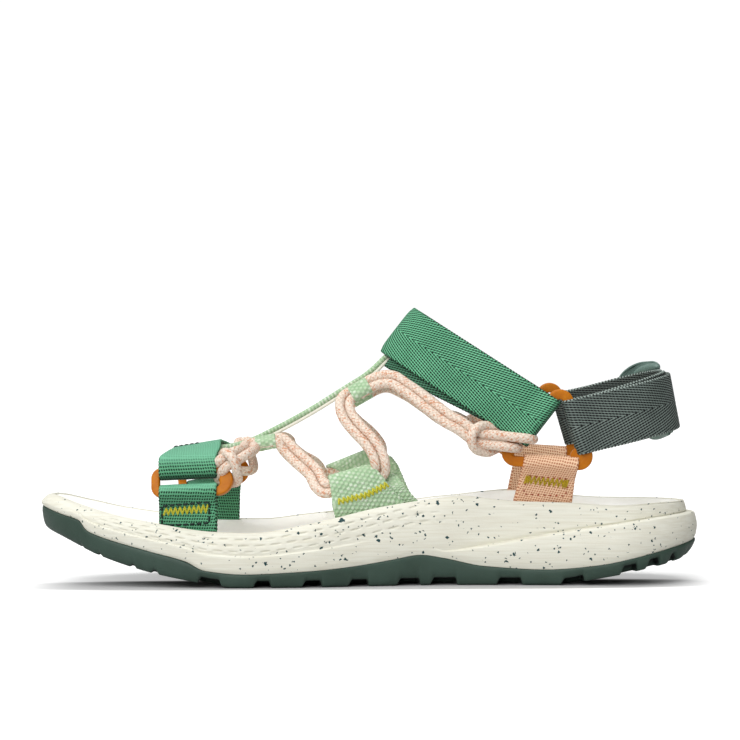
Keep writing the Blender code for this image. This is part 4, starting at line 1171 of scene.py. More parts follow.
def weave_group(name, lean, column):
    """Weave of webbing: rows that lean both ways from the strap's middle, dark pits between, a ropy edge.

    column is the direction, along and across the strap, in which the pits follow each other. Line is how far
    the pits of a row run together.
    """
    inputs = (("Row Pitch", 1.0), ("Pit Pitch", 1.2), ("Line", 0.3), ("Half Width", 10.5))
    group, sizes, result = new_group(name, inputs, ("Height", "Row", "Pit", "Selvedge"))
    uv, along, aside = webbing_place(group)
    along = calc(group, "ADD", along, calc(group, "MULTIPLY", noise(group, uv, 40.0, 2.0), 0.5))
    across = calc(group, "ABSOLUTE", aside)
    lean = math.radians(lean)
    over = weigh(group, across, math.cos(lean), along, math.sin(lean))
    down = weigh(group, along, column[0], aside, column[1])
    row = wave(group, calc(group, "DIVIDE", over, sizes["Row Pitch"]))
    bead = wave(group, calc(group, "DIVIDE", down, sizes["Pit Pitch"]))
    beaded = calc(group, "MULTIPLY_ADD", bead, calc(group, "SUBTRACT", 1.0, sizes["Line"]), sizes["Line"])
    near_edge = between(group, calc(group, "SUBTRACT", sizes["Half Width"], across), 0.3, 0.8, 1.0, 0.0)
    rope = calc(group, "COSINE", calc(group, "MULTIPLY", along, 2 * math.pi / SCALLOP_PITCH))
    edge_dashes = calc(group, "MULTIPLY_ADD", rope, 0.5, 0.5)
    rope = calc(group, "MULTIPLY_ADD", rope, -0.4, 0.34)
    inside = calc(group, "SUBTRACT", 1.0, near_edge)
    pit = weigh(group, calc(group, "MULTIPLY", row, beaded), inside, near_edge, rope)
    put(group, result["Selvedge"], calc(group, "MULTIPLY", near_edge, edge_dashes))
    put(group, result["Row"], calc(group, "MULTIPLY", row, calc(group, "MULTIPLY", sizes["Line"], 5.0)))
    put(group, result["Pit"], pit)
    put(group, result["Height"], calc(group, "SUBTRACT", 1.0, pit))
    return group


# Lean of the rows in degrees, then the direction of the pits
HERRINGBONE = weave_group("herringbone", 15, (1.0, 0.12))
RIB_WEAVE = weave_group("rib_weave", 90, (0.25, 1.0))


def woven_finish(name, group, sizes, colours, shine=0.35, under=0.8, inner=0.0, selvedge=None, top=None):
    """Woven webbing, in the colours of its yarn, of the yarn that stands up, and of its pits.

    Painted shade: faces that look down, and the inner layer of a doubled strap, take on the dark by the
    shares
    under and inner. Painted highlight: faces that look up take on the colour top. The edges have dashes in
    the colour selvedge.
    """
    ground, light, dark = colours
    made, tree, shader = finish(name, 0.62, shine)
    weave = use_group(tree, group, sizes)
    fade = between(tree, mottle(tree, 0.09, 3.0), 0.3, 0.7, 0.0, 0.3)
    woven = tint(tree, weave["Row"], tint(tree, fade, light, ground), ground)
    woven = tint(tree, between(tree, weave["Pit"], 0.12, 0.52), woven, dark)
    facing_up = split(tree, tree.nodes.new("ShaderNodeNewGeometry").outputs["True Normal"])[2]
    # Painted shade on faces that look down
    woven = tint(tree, between(tree, facing_up, -0.8, -0.05, under, 0.0), woven, dark)
    if top:
        # Painted highlight on faces that look up
        woven = tint(tree, between(tree, facing_up, 0.1, 0.75, 0.0, 0.75), woven, top)
    if inner:
        # Painted shade on a doubled strap's inner layer, which lies under the outer one
        woven = tint(tree, between(tree, marked(tree, "inner_layer"), 0.0, 1.0, 0.0, inner), woven, dark)
    if selvedge:
        woven = tint(tree, weave["Selvedge"], woven, selvedge)
    put(tree, shader.inputs["Base Color"], woven)
    put(tree, shader.inputs["Roughness"], between(tree, weave["Pit"], 0.0, 0.6, 0.55, 0.85))
    relief(tree, shader, weave["Height"], 0.2)
    return made


# One stitch: place along it, height above the strap's middle
STITCH_ARCH = ((-1.0, 0.45), (-0.55, 0.8), (0.0, 0.88), (0.55, 0.8), (1.0, 0.45))

# One leg of a zigzag: share of its swing, share of the way to the next leg, height above the strap's middle
ZIGZAG_LEG = ((0.96, 0.0, 0.72), (0.5, 0.25, 0.9), (-0.5, 0.75, 0.9))
TACK_STEP = 0.35
THREAD_SIDES = 6
STEEP = 0.8
NEAR_FOOT = -4


def thread(points, radius):
    """Skin of sewing thread through a few points."""
    path = np.array(points, float)
    run = unit(path[-1] - path[0])
    side_on = unit(np.cross(run, UP if abs(run[2]) < STEEP else vector(1.0, 0.0, 0.0)))
    return sweep(path, side_on, *circle(radius, THREAD_SIDES))


def stitch_row(strap, start, end, face, pitch, length, radius):
    """Row of stitches between two places (along, across) on a strap, on the face that the sign names."""
    start, end = np.array(start, float), np.array(end, float)
    reach = float(np.linalg.norm(end - start))
    count = max(int(round(reach / pitch)), 1)
    half = length / 2 / reach
    made = []
    for k in range(count):
        middle = (k + 0.5) / count
        spots = []
        for step, lift in STITCH_ARCH:
            along, across = mix(start, end, middle + half * step)
            spots.append(strap.spot(along, across, face * lift))
        made.append(thread(spots, radius))
    return made


def stitch_box(strap, corners, face, *sizes):
    """Stitches round a box on a strap's last leg, from the height and place across of its corners."""
    ends = [(strap.down_to(*corner), corner[1]) for corner in corners]
    made = []
    for start, end in zip(ends, ends[1:] + ends[:1]):
        made += stitch_row(strap, start, end, face, *sizes)
    return joined(made)


def zigzag(strap, places, face, height, pitch, radius, tacked=0.0):
    """Zigzag of thread on a strap about a line through places (height, across), close at its tacked ends."""
    line = np.array([(strap.down_to(*place), place[1]) for place in places])
    start, end = line[0, 1], line[-1, 1]
    tack = np.arange(0.0, tacked, TACK_STEP)
    steps = np.linspace(start + tacked, end - tacked, int((end - start - 2 * tacked) / pitch * 2) + 1)
    steps = np.concatenate([start + tack, steps, end - tack[::-1]])
    spots = []
    for k, across in enumerate(steps):
        along = np.interp(across, line[:, 1], line[:, 0])
        swing = height / 2 * (-1 if k % 2 else 1)
        ahead = steps[min(k + 1, len(steps) - 1)] - across
        for swung, share, lift in ZIGZAG_LEG:
            spots.append(strap.spot(along + swing * swung, across + ahead * share, face * lift))
    return thread(spots[:-2], radius)


def thread_finish(name, light, dark):
    made, tree, shader = finish(name, 0.55, 0.4)
    twist = mottle(tree, 2.6, 2.0)
    put(tree, shader.inputs["Base Color"], tint(tree, between(tree, twist, 0.35, 0.65), dark, light))
    relief(tree, shader, twist, 0.06)
    return made


def sewn_anchor(kind, side, strap, cloth, seams, lift=0.0):
    """Webbing of an anchor and the seams on its outer face.

    Each seam has a name, its thread, the function that sews it, and the places and sizes for that.
    The places are raised by lift.
    """
    node = f"{kind}_{SIDES[side]}"
    piece(f"{kind}_webbing_{SIDES[side]}", webbing(strap), cloth, node)
    face = 1.0 if strap.normal[NEAR_FOOT, 1] * side > 0 else -1.0
    for name, yarn, sew, places, sizes in seams:
        places = [(height + lift, across) for height, across in places]
        piece(f"{kind}_{name}_{SIDES[side]}", sew(strap, places, face, *sizes), yarn, node)


GREEN = (paint(40, 110, 74), paint(90, 164, 122), paint(2, 34, 20))
# Painted highlight for faces of the green webbing that look up; its faces that look down take painted shade
GREEN_TOP_HIGHLIGHT = paint(114, 184, 150)
green_sizes = (1.15, 0.95, 0.04, TOE_WIDTH / 2)
green_webbing = woven_finish("green_webbing", RIB_WEAVE, green_sizes, GREEN, top=GREEN_TOP_HIGHLIGHT)
dark_thread = thread_finish("dark_green_thread", paint(12, 48, 36), paint(4, 26, 20))
yellow_thread = thread_finish("yellow_thread", paint(204, 198, 66), paint(168, 166, 30))
toe_seams = (
    ("box_stitch", dark_thread, stitch_box, TOE_BOX, TOE_BOX_SIZES),
    ("zigzag", yellow_thread, zigzag, TOE_ZIGZAG, TOE_ZIGZAG_SIZES),
)
for side in SIDES:
    middle, along, up, out = toe_ring_frame(side)
    strap = anchor(middle - up * TOE_RING_HEIGHT / 2, along, side, TOE_STRAP_X[side], TOE_WIDTH, TOE_WIDTH)
    sewn_anchor("toe_anchor", side, strap, green_webbing, toe_seams)

# Heel anchors. Peach webbing folded over the lower bar of each heel ring, both ends cemented in the sole,
# sewn with a mustard zigzag and a box of small red-brown stitches.
HEEL_ANCHOR_WIDTH = 21.2
HEEL_ANCHOR_FOOT_WIDTH = 23.2
HEEL_ANCHOR_FROM_FRONT = 13.8
HEEL_ANCHOR_FOOT_X = {MEDIAL: 66.0, LATERAL: 68.0}
HEEL_BOX = ((42.6, -8.0), (41.2, 8.0), (34.4, 8.2), (35.2, -8.2))
HEEL_BOX_SIZES = (2.4, 0.5, 0.3)
HEEL_ZIGZAG = ((41.2, -8.6), (39.2, 8.0))
HEEL_ZIGZAG_SIZES = (4.0, 1.7, 0.34, 1.6)
PEACH = (paint(226, 181, 143), paint(243, 206, 172), paint(186, 120, 86))
peach_sizes = (0.92, 0.95, 0.04, HEEL_ANCHOR_WIDTH / 2)
# The peach webbing takes a little painted shade on faces that look down
peach_webbing = woven_finish("peach_webbing", RIB_WEAVE, peach_sizes, PEACH, shine=0.3, under=0.2)
mustard_thread = thread_finish("mustard_thread", paint(194, 164, 34), paint(152, 126, 8))
brown_thread = thread_finish("red_brown_thread", paint(176, 84, 52), paint(132, 56, 34))
heel_seams = (
    ("box_stitch", brown_thread, stitch_box, HEEL_BOX, HEEL_BOX_SIZES),
    ("zigzag", mustard_thread, zigzag, HEEL_ZIGZAG, HEEL_ZIGZAG_SIZES),
)
lower_bar = ring_bar(RING_FRONT, RING_REAR, HEEL_ANCHOR_FROM_FRONT)
for side in SIDES:
    bar = at_ankle(lower_bar, side)
    strap = anchor(bar, ring_side(RING_FRONT, RING_REAR)[0], side, HEEL_ANCHOR_FOOT_X[side],
                   HEEL_ANCHOR_WIDTH, HEEL_ANCHOR_FOOT_WIDTH)
    sewn_anchor("heel_anchor", side, strap, peach_webbing, heel_seams, bar[2] - lower_bar[2])

# Upper. The toe strap, of green ribbed webbing, and the instep strap, of green herringbone webbing laid
# double, are folded round the rings at both ends.
TOE_TAIL = 6.0
TOE_SWELL = ((3.0, 2.4), (2.4, 5.2))
TOE_CROWN = vector(-67.9, -4.0, 53.4)
TOE_CROWN_WIDTH = 18.6
TOE_CROWN_NARROW = (0.2, 0.5)
TOE_SOFTEN = 14
TOE_CROWN_SLOPE = 0.17
TOE_SHOULDER = 0.72
TOE_SHOULDER_HEIGHT = {MEDIAL: 0.74, LATERAL: 0.62}
TOE_SHOULDER_BACK = {MEDIAL: 1.4, LATERAL: -1.4}
CREST_ROW_AHEAD = 1.6
CREST_ROW_ENDS = (-9.4, 1.0)
CREST_ROW_SIZES = (2.3, 1.6, 0.38)


def through(rows, spacing, closed=False):
    """Smooth curve through given points, read about every spacing millimetres."""
    rows = np.array(rows, float)
    if closed:
        rows = np.concatenate([rows[-3:], rows, rows[:3]])
    knots = lengths_along(rows)
    slopes = np.gradient(rows, knots, axis=0)
    start, end = (knots[3], knots[-3]) if closed else (0.0, knots[-1])
    at = np.linspace(start, end, int((end - start) / spacing) + 2)
    at = at[:-1] if closed else at
    k = np.clip(np.searchsorted(knots, at, side="right") - 1, 0, len(rows) - 2)
    span = (knots[k + 1] - knots[k])[:, None]
    share = (at - knots[k])[:, None] / span
    return cubic(rows[k], rows[k + 1], slopes[k] * span, slopes[k + 1] * span, share)


def toe_strap():
    """From ring to ring over the toes, its ends folded round the upper bars."""
    ends = {}
    for side in SIDES:
        middle, along, up, out = toe_ring_frame(side)
        bar = middle + up * TOE_RING_HEIGHT / 2
        swell = [bar + out * o + up * u for o, u in TOE_SWELL]
        ends[side] = (eye(bar, up, out, TOE_TAIL)[:-1] + swell, along)
    medial_end, lateral_end = ends[MEDIAL][0], ends[LATERAL][0]
    shoulders = {}
    for side in SIDES:
        ring_end = ends[side][0][-1]
        shoulders[side] = mix(TOE_CROWN, ring_end, TOE_SHOULDER)
        shoulders[side][0] += TOE_SHOULDER_BACK[side]
        shoulders[side][2] = mix(ring_end[2], TOE_CROWN[2], TOE_SHOULDER_HEIGHT[side])
    rows = [medial_end[-1], shoulders[MEDIAL], TOE_CROWN, shoulders[LATERAL], lateral_end[-1]]
    arch = list(through(rows, 1.0))
    crown_direction = unit(vector(1.0, 0.0, TOE_CROWN_SLOPE))
    wide = [ends[MEDIAL][1]] * (len(medial_end) - 1)
    for share in np.linspace(0.0, 1.0, len(arch)):
        here = mix(ends[MEDIAL][1], ends[LATERAL][1], share)
        wide.append(unit(mix(here, crown_direction, math.sin(math.pi * share))))
    wide += [ends[LATERAL][1]] * (len(lateral_end) - 1)
    path = medial_end[:-1] + arch + lateral_end[-2::-1]
    middle = len(medial_end) - 1 + len(arch) / 2
    narrow = [share * len(arch) for share in TOE_CROWN_NARROW]
    near_crown = 1.0 - smoothstep(narrow, np.abs(np.arange(len(path)) - middle))
    return Strap(path, wide, mix(TOE_WIDTH, TOE_CROWN_WIDTH, near_crown), TOE_SOFTEN)


strap = toe_strap()
piece("toe_strap_webbing", webbing(strap), green_webbing, "upper")
crest = int(np.argmax(strap.path[:, 2]))
crest_row = [(strap.at[crest] - CREST_ROW_AHEAD, across) for across in CREST_ROW_ENDS]
face = math.copysign(1.0, strap.normal[crest, 2])
stitches = stitch_row(strap, *crest_row, face, *CREST_ROW_SIZES)
piece("toe_strap_stitch", joined(stitches), dark_thread, "upper")

INSTEP_WIDTH = 22.0
INSTEP_FROM_TOP = 11.0
INSTEP_PAST_BAR = vector(1.0, 0.0, -0.7)
INSTEP_CROWN = vector(11.5, 0.0, 97.6)
INSTEP_CROWN_ACROSS = unit(vector(0.61, 0.0, 0.79))
INSTEP_INNER_DROP = 3.8
INSTEP_CUP = 0.6
INSTEP_CUP_FADES = (6.0, 16.0)
INSTEP_ROUNDNESS = 2.0
INSTEP_INNER_END = 8.5
FINE_STEPS = 200
DROP_BETWEEN = (0.05, 0.75)
BEHIND_FOLD = 1.5


def half_loop(bar, far, roundness, count):
    """Middle surface of a doubled strap, from the medial bar to its far point."""
    angle = np.linspace(0.0, math.pi / 2, count + 1)
    reach = np.sin(angle) ** (2 / roundness)
    spread = np.clip(np.cos(angle), 0.0, 1.0) ** (2 / roundness)
    spread[-1] = 0.0
    made = bar + (far - bar) * reach[:, None]
    made[:, 1] = -ANKLE_HALF * spread
    return made


def doubled_strap(bar, bar_direction, far, far_across, roundness, inner_drop, inner_end, width):
    """Strap that runs out and back between the two heel rings.

    The outer layer goes from bar to bar. The inner layer folds round both bars and ends at inner_end from the
    middle.
    """
    middle = even(half_loop(bar, far, roundness, FINE_STEPS), 1.0)
    run = tangents(middle)
    leave = unit((far - bar) * vector(1.0, 0.0, 1.0))
    out = vector(0.0, -1.0, 0.0)
    shares = np.linspace(0.0, 1.0, len(middle))
    across = [unit(mix(bar_direction, far_across, s)) for s in shares]
    away = vector(far[0] - bar[0], 0.0, far[2] - bar[2])
    normals = [unit(np.cross(r, a)) for r, a in zip(run, across)]
    normals = [n if np.dot(n, away * s + out * (1 - s)) > 0 else -n for n, s in zip(normals, shares)]
    start = vector(bar[0], -ANKLE_HALF, bar[2])
    fold = eye(start, leave, out, 0.0)[1:]
    fold_end = EYE_CLOSES_AT * EYE_RADIUS + BEHIND_FOLD
    skip = next(k for k in range(len(middle)) if np.linalg.norm(middle[k] - start) > fold_end)
    outer = [middle[k] + normals[k] * HALF_PAIR for k in range(skip, len(middle))]
    inner = [middle[k] - normals[k] * HALF_PAIR - across[k] * inner_drop * smoothstep(DROP_BETWEEN, shares[k])
             for k in range(skip, len(middle))]
    keep = [k for k in range(len(inner)) if -inner[k][1] > inner_end]
    half_path = [inner[k] for k in reversed(keep)] + fold + outer
    half_wide = [across[skip + k] for k in reversed(keep)] + [bar_direction] * len(fold) + across[skip:]
    flip = vector(1.0, -1.0, 1.0)
    path = half_path + [p * flip for p in reversed(half_path[:-1])]
    wide = half_wide + list(reversed(half_wide[:-1]))
    return Strap([lifted(p + vector(0.0, ANKLE_Y, 0.0)) for p in path], wide, width)


def mark_inner_layer(made, strap, fold):
    """Mark the inner layer of a doubled strap, which ends at the row number fold on the medial side."""
    half = strap.at[-1] / 2
    inner = np.abs(strap.at - half) > half - strap.at[fold]
    mark(made, "inner_layer", np.repeat(inner, len(made.data.vertices) // len(strap.path)))


instep_bar = ring_bar(RING_TOP, RING_FRONT, INSTEP_FROM_TOP) + INSTEP_PAST_BAR
instep_strap = doubled_strap(
    instep_bar, INSTEP_CROWN_ACROSS, INSTEP_CROWN, INSTEP_CROWN_ACROSS,
    INSTEP_ROUNDNESS, INSTEP_INNER_DROP, INSTEP_INNER_END, INSTEP_WIDTH,
)
crown_cup = 1.0 - smoothstep(INSTEP_CUP_FADES, np.abs(instep_strap.at - instep_strap.at[-1] / 2))
skin = webbing(instep_strap, cup=INSTEP_CUP * crown_cup)
INSTEP_GREEN = (paint(47, 122, 84), paint(112, 192, 148), paint(2, 30, 18))
instep_sizes = (0.9, 1.22, 0.2, INSTEP_WIDTH / 2)
# The instep strap takes painted shade on its inner layer and on faces that look down
instep_webbing = woven_finish("instep_webbing", HERRINGBONE, instep_sizes, INSTEP_GREEN, inner=0.55)
made = piece("instep_strap_webbing", skin, instep_webbing, "upper")
mark_inner_layer(made, instep_strap, np.argmax(instep_strap.path[: len(instep_strap.path) // 2, 0]))

# Spine. Light green webbing of a coarse basket weave with a cream lining under it, along the instep from
# under the toe strap to under the instep strap. Four short sleeves of the same webbing hold the cords at
# its edges.

# Middle of the spine: x, y, z
SPINE = (
    (-67.0, -3.0, 51.5),
    (-60.0, -2.8, 51.6),
    (-53.0, -2.5, 52.6),
    (-46.3, -2.3, 54.8),
    (-39.4, -2.1, 58.1),
    (-28.0, -1.8, 64.1),
    (-7.9, -1.0, 76.4),
    (-1.3, -0.6, 80.6),
    (2.3, -0.3, 83.6),
    (5.4, 0.0, 86.7),
    (9.6, 0.3, 90.4),
)
SPINE_WIDTH = 16.0
SPINE_TAPER = ((-1.0, SPINE_WIDTH), (9.0, 9.0))
SPINE_THICKNESS = 2.4

# Layers: name, height of its middle, thickness
SPINE_LAYERS = (
    ("spine_webbing", 0.6, 2.0),
    ("spine_lining", -1.0, 1.3),
)
spine_path = through(SPINE, 1.0)


def ridge(tree, value):
    """Row of round ridges, one for each whole step of a value."""
    return calc(tree, "ABSOLUTE", calc(tree, "SINE", calc(tree, "MULTIPLY", value, math.pi)))


def dice(tree, a, b):
    """Chance number of the cell that two values lie in."""
    cell = tree.nodes.new("ShaderNodeCombineXYZ")
    put(tree, cell.inputs[0], calc(tree, "FLOOR", a))
    put(tree, cell.inputs[1], calc(tree, "FLOOR", b))
    made = tree.nodes.new("ShaderNodeTexWhiteNoise")
    put(tree, made.inputs["Vector"], cell.outputs[0])
    return made.outputs["Value"]


def basket_group():
    """Coarse basket weave on webbing: bricks of light yarn over darker yarn, some of them bleached."""
    inputs = (("Brick Length", 1.9), ("Brick Width", 0.85))
    group, sizes, result = new_group("basket_weave", inputs, ("Brick", "Bleached"))
    uv, along, across = webbing_place(group)
    wander = calc(group, "MULTIPLY", noise(group, uv, 60.0, 2.0), 0.4)
    column = calc(group, "DIVIDE", calc(group, "ADD", across, wander), sizes["Brick Width"])
    shift = calc(group, "MULTIPLY", calc(group, "FLOOR", column), 0.5)
    row = calc(group, "DIVIDE", calc(group, "ADD", along, wander), sizes["Brick Length"])
    row = calc(group, "ADD", row, shift)
    arch = calc(group, "MULTIPLY_ADD", ridge(group, column), 0.7, 0.3)
    brick = calc(group, "MULTIPLY", wave(group, row), arch)
    bleach = between(group, dice(group, row, column), 0.35, 0.9)
    put(group, result["Brick"], brick)
    put(group, result["Bleached"], calc(group, "MULTIPLY", brick, bleach))
    return group


def basket_finish(name, ground, light, bleached, *sizes):
    """Basket weave in three colours of yarn. sizes are the length and width of its bricks."""
    made, tree, shader = finish(name, 0.75, 0.3)
    weave = use_group(tree, BASKET, sizes)
    fade = between(tree, mottle(tree, 0.2, 3.0), 0.3, 0.7, 0.0, 0.35)
    yarn = tint(tree, weave["Brick"], tint(tree, fade, ground, light), light)
    put(tree, shader.inputs["Base Color"], tint(tree, weave["Bleached"], yarn, bleached))
    relief(tree, shader, weave["Brick"], 0.35)
    return made


BASKET = basket_group()
LIGHT_GREEN = (paint(146, 182, 138), paint(187, 209, 176), paint(212, 225, 204))
light_green_webbing = basket_finish("light_green_webbing", *LIGHT_GREEN, 1.9, 1.5)
spine_webbing = basket_finish("spine_webbing", *LIGHT_GREEN, 1.5, 3.2)
lining, tree, shader = finish("spine_lining", 0.85, 0.25)
nap = mottle(tree, 2.4, 3.0)
put(tree, shader.inputs["Base Color"], tint(tree, nap, paint(226, 222, 204), paint(240, 238, 226)))
relief(tree, shader, nap, 0.12)
spine_wide = np.broadcast_to(vector(0.0, 1.0, 0.0), spine_path.shape)
spine_lift = np.cross(tangents(spine_path), spine_wide)
spine_lift *= np.sign(spine_lift[:, 2:3])
spine_widths = np.interp(spine_path[:, 0], *zip(*SPINE_TAPER))
for (name, level, thickness), cloth in zip(SPINE_LAYERS, (spine_webbing, lining)):
    layer = Strap(spine_path + spine_lift * level, spine_wide, spine_widths)
    piece(name, webbing(layer, thickness), cloth, "upper")

# Sleeves: x, rise along the sleeve, how much lower the lateral one lies
SLEEVES = (
    (-41.8, 0.18, 0.0),
    (-5.4, 0.58, 2.2),
)
SLEEVE_LENGTH = 8.0
SLEEVE_WALL = 0.6
SLEEVE_SPREAD = 1.35
SLEEVE_SPARE = 0.15
SLEEVE_STEPS = 16
SLEEVE_HOLD = 2.35
SLEEVE_HOLD_SIDEWAYS = 0.86
SLEEVE_HOLD_DOWN = 0.3
LEAST_RISE = 0.5

# Depth of the foot's axis under the spine, which turns the doubled cord flat in the first sleeve: x, depth
CREST_TO_AXIS = (
    (-56.0, 12.0),
    (-50.0, 16.0),
    (-46.5, 34.0),
    (-36.5, 34.0),
    (-29.0, 14.0),
)
CORD_RADIUS = 1.7
CORD_SPREAD = 1.5


def spine_at(x):
    """Middle and downward normal of the spine at x."""
    xs = spine_path[:, 0]
    run = tangents(spine_path)
    middle = vector(x, np.interp(x, xs, spine_path[:, 1]), np.interp(x, xs, spine_path[:, 2]))
    forward = unit(vector(np.interp(x, xs, run[:, 0]), 0.0, np.interp(x, xs, run[:, 2])))
    return middle, vector(forward[2], 0.0, -forward[0])


def on_instep(place, forward):
    """Directions out of the foot, and across a cord that runs forward along it."""
    crest = spine_at(min(place[0], SPINE[-1][0]))[0][2]
    axis_z = crest - np.interp(place[0], *zip(*CREST_TO_AXIS))
    rise = max(place[2] - axis_z, LEAST_RISE * abs(place[1]))
    out = vector(0.0, place[1], rise)
    out = unit(out - forward * np.dot(out, forward))
    across = np.cross(forward, out)
    return out, across if across[2] < 0 else -across


def sleeve_frame(x, rise, lower, side):
    """Middle of the cord in a sleeve, its direction, and its directions out of and down the foot."""
    middle, down = spine_at(x)
    forward = unit(vector(1.0, 0.0, rise))
    corner = middle + vector(0.0, side * SPINE_WIDTH / 2, 0.0) + down * SPINE_THICKNESS / 2
    hold = unit(vector(0.0, side * SLEEVE_HOLD_SIDEWAYS, 0.0) + down * SLEEVE_HOLD_DOWN)
    strand = corner + SLEEVE_HOLD * hold - UP * lower * (side == LATERAL)
    out, across = on_instep(strand, forward)
    return strand + across * CORD_SPREAD, forward, out, across


def sleeve(x, rise, lower, side):
    """Loop of webbing round both strands of a cord."""
    middle, forward, out, across = sleeve_frame(x, rise, lower, side)
    radius = CORD_RADIUS + SLEEVE_SPARE + SLEEVE_WALL / 2
    loop = arc((SLEEVE_SPREAD, 0.0), radius, -90, 90, SLEEVE_STEPS)
    loop += arc((-SLEEVE_SPREAD, 0.0), radius, 90, 270, SLEEVE_STEPS)
    path = np.array([middle + across * a + out * b for a, b in loop])
    half, wall = SLEEVE_LENGTH / 2, SLEEVE_WALL / 2
    core, bulge, raised = band()
    return sweep(path, forward, core * (half - wall) + bulge * wall, raised * wall, True)


for number, (x, rise, lower) in enumerate(SLEEVES, 1):
    for side, side_name in SIDES.items():
        skin = sleeve(x, rise, lower, side)
        piece(f"sleeve_{number}_{side_name}", skin, light_green_webbing, "upper")

# Mid anchors. Light green webbing folded over the cord at each side of the arch, its inner leg splayed
# towards the heel, both ends cemented in the sole and sewn with a yellow zigzag.

# Outer leg, and inner leg: distance from the fold, width, shift towards the heel
MID_OUTER = ((0.0, 17.0, 0.0), (3.0, 18.0, 0.0), (8.0, 20.6, 0.5), (20.0, 27.6, 1.7))
MID_INNER = ((0.0, 17.0, 0.0), (3.0, 19.0, 4.2), (7.0, 20.0, 8.2), (13.0, 22.0, 8.0), (20.0, 25.0, 6.0))
MID_ZIGZAG = ((32.3, -9.9), (34.7, 1.2), (38.8, 11.0))
MID_ZIGZAG_SIZES = (2.2, 1.7, 0.46)
MID_INNER_FOOT_SHIFT = 4.0
MID_X = {MEDIAL: -4.0, LATERAL: -7.2}
MID_FOOT_SHIFT = {MEDIAL: 5.0, LATERAL: 5.7}
MID_IN = 3.0
MID_FOLD_TAIL = 9.5
MID_Z = {MEDIAL: 40.0, LATERAL: 42.6}
MID_RISE = {MEDIAL: 0.27, LATERAL: 0.4}
TUNNEL_RADIUS = CORD_RADIUS + 1.5 * GAP + WEBBING / 2


def tunnel(side):
    """Middle and direction of the fold that the cord runs through."""
    along, inward = plan_frame(MID_X[side], side)
    middle = seat(MID_X[side], side) + inward * MID_IN
    middle[2] = MID_Z[side]
    return middle, unit(along + UP * MID_RISE[side])


def mid_anchor(side):
    middle, forward = tunnel(side)
    out, down = on_instep(middle, forward)
    fold = eye(middle, down, out, MID_FOLD_TAIL, CORD_SPREAD, TUNNEL_RADIUS)
    foot_x = MID_X[side] + MID_FOOT_SHIFT[side]
    outer_foot, inner_foot = [seat(x, side) for x in (foot_x, foot_x + MID_INNER_FOOT_SHIFT)]
    outer_normal, inner_normal = [plan_frame(x, side)[1] for x in (foot_x, foot_x + MID_INNER_FOOT_SHIFT)]
    path = [inner_foot + inner_normal * HALF_PAIR] + fold[1:] + [outer_foot - outer_normal * HALF_PAIR]
    path = even(np.array(path), 1.0)
    foot_direction = rim_direction(foot_x, side)
    drop = float(np.linalg.norm(outer_foot - middle))
    wide = np.array([unit(mix(forward, foot_direction, leg_share(p, middle, drop))) for p in path])
    top = int(np.argmin((path - middle) @ down))
    away = lengths_along(path) - lengths_along(path)[top]
    (out_at, *outer), (in_at, *inner) = np.array(MID_OUTER).T, np.array(MID_INNER).T
    widths, shift = [
        np.where(away > 0, np.interp(away, out_at, a), np.interp(-away, in_at, b))
        for a, b in zip(outer, inner)
    ]
    return Strap(path + wide * shift[:, None], wide, widths)


mid_seams = (("zigzag", yellow_thread, zigzag, MID_ZIGZAG, MID_ZIGZAG_SIZES),)
for side in SIDES:
    strap, lift = mid_anchor(side), MID_Z[side] - MID_Z[MEDIAL]
    sewn_anchor("mid_anchor", side, strap, light_green_webbing, mid_seams, lift)

# Heel strap. Doubled dark grey herringbone webbing round the back of the heel, folded round the rear side
# of each heel ring.
HEEL_FROM_REAR = 11.2
HEEL_FOLD_LEAN = vector(0.055, 0.0, 0.02)
HEEL_BACK = vector(119.4, 0.0, 70.1)
HEEL_BACK_ACROSS = unit(vector(-0.176, 0.0, 0.984))
HEEL_ROUNDNESS = 2.5
HEEL_WIDTH = 21.8
HEEL_INNER_RISE = 1.3
HEEL_INNER_END = 4.0
GREY = (paint(52, 63, 59), paint(120, 133, 127), paint(2, 5, 5))
GREY_EDGE = paint(150, 164, 157)
grey_sizes = (0.965, 1.25, 0.2, HEEL_WIDTH / 2)
# The heel strap takes painted shade on its inner layer and on faces that look down
grey_webbing = woven_finish("grey_webbing", HERRINGBONE, grey_sizes, GREY, inner=0.5, selvedge=GREY_EDGE)
heel_bar = ring_bar(RING_REAR, RING_TOP, HEEL_FROM_REAR)
heel_bar_direction = unit(ring_side(RING_REAR, RING_TOP)[0] + HEEL_FOLD_LEAN)
heel_strap = doubled_strap(
    heel_bar, heel_bar_direction, HEEL_BACK, HEEL_BACK_ACROSS, HEEL_ROUNDNESS, -HEEL_INNER_RISE,
    HEEL_INNER_END, HEEL_WIDTH,
)
made = piece("heel_strap_webbing", webbing(heel_strap), grey_webbing, "heel_strap")
mark_inner_layer(made, heel_strap, np.argmin(heel_strap.path[: len(heel_strap.path) // 2, 0]))

# Heel slider. A ladder lock of grey satin plastic on the lateral side of the heel strap: two arched rails,
# three bars outside the strap and one inside it, all rounded.
SLIDER_X = 112.3
SLIDER_STEP = 0.4
SLIDER_ROD_STEP = 0.3
SLIDER_PLATE_STEP = 0.5

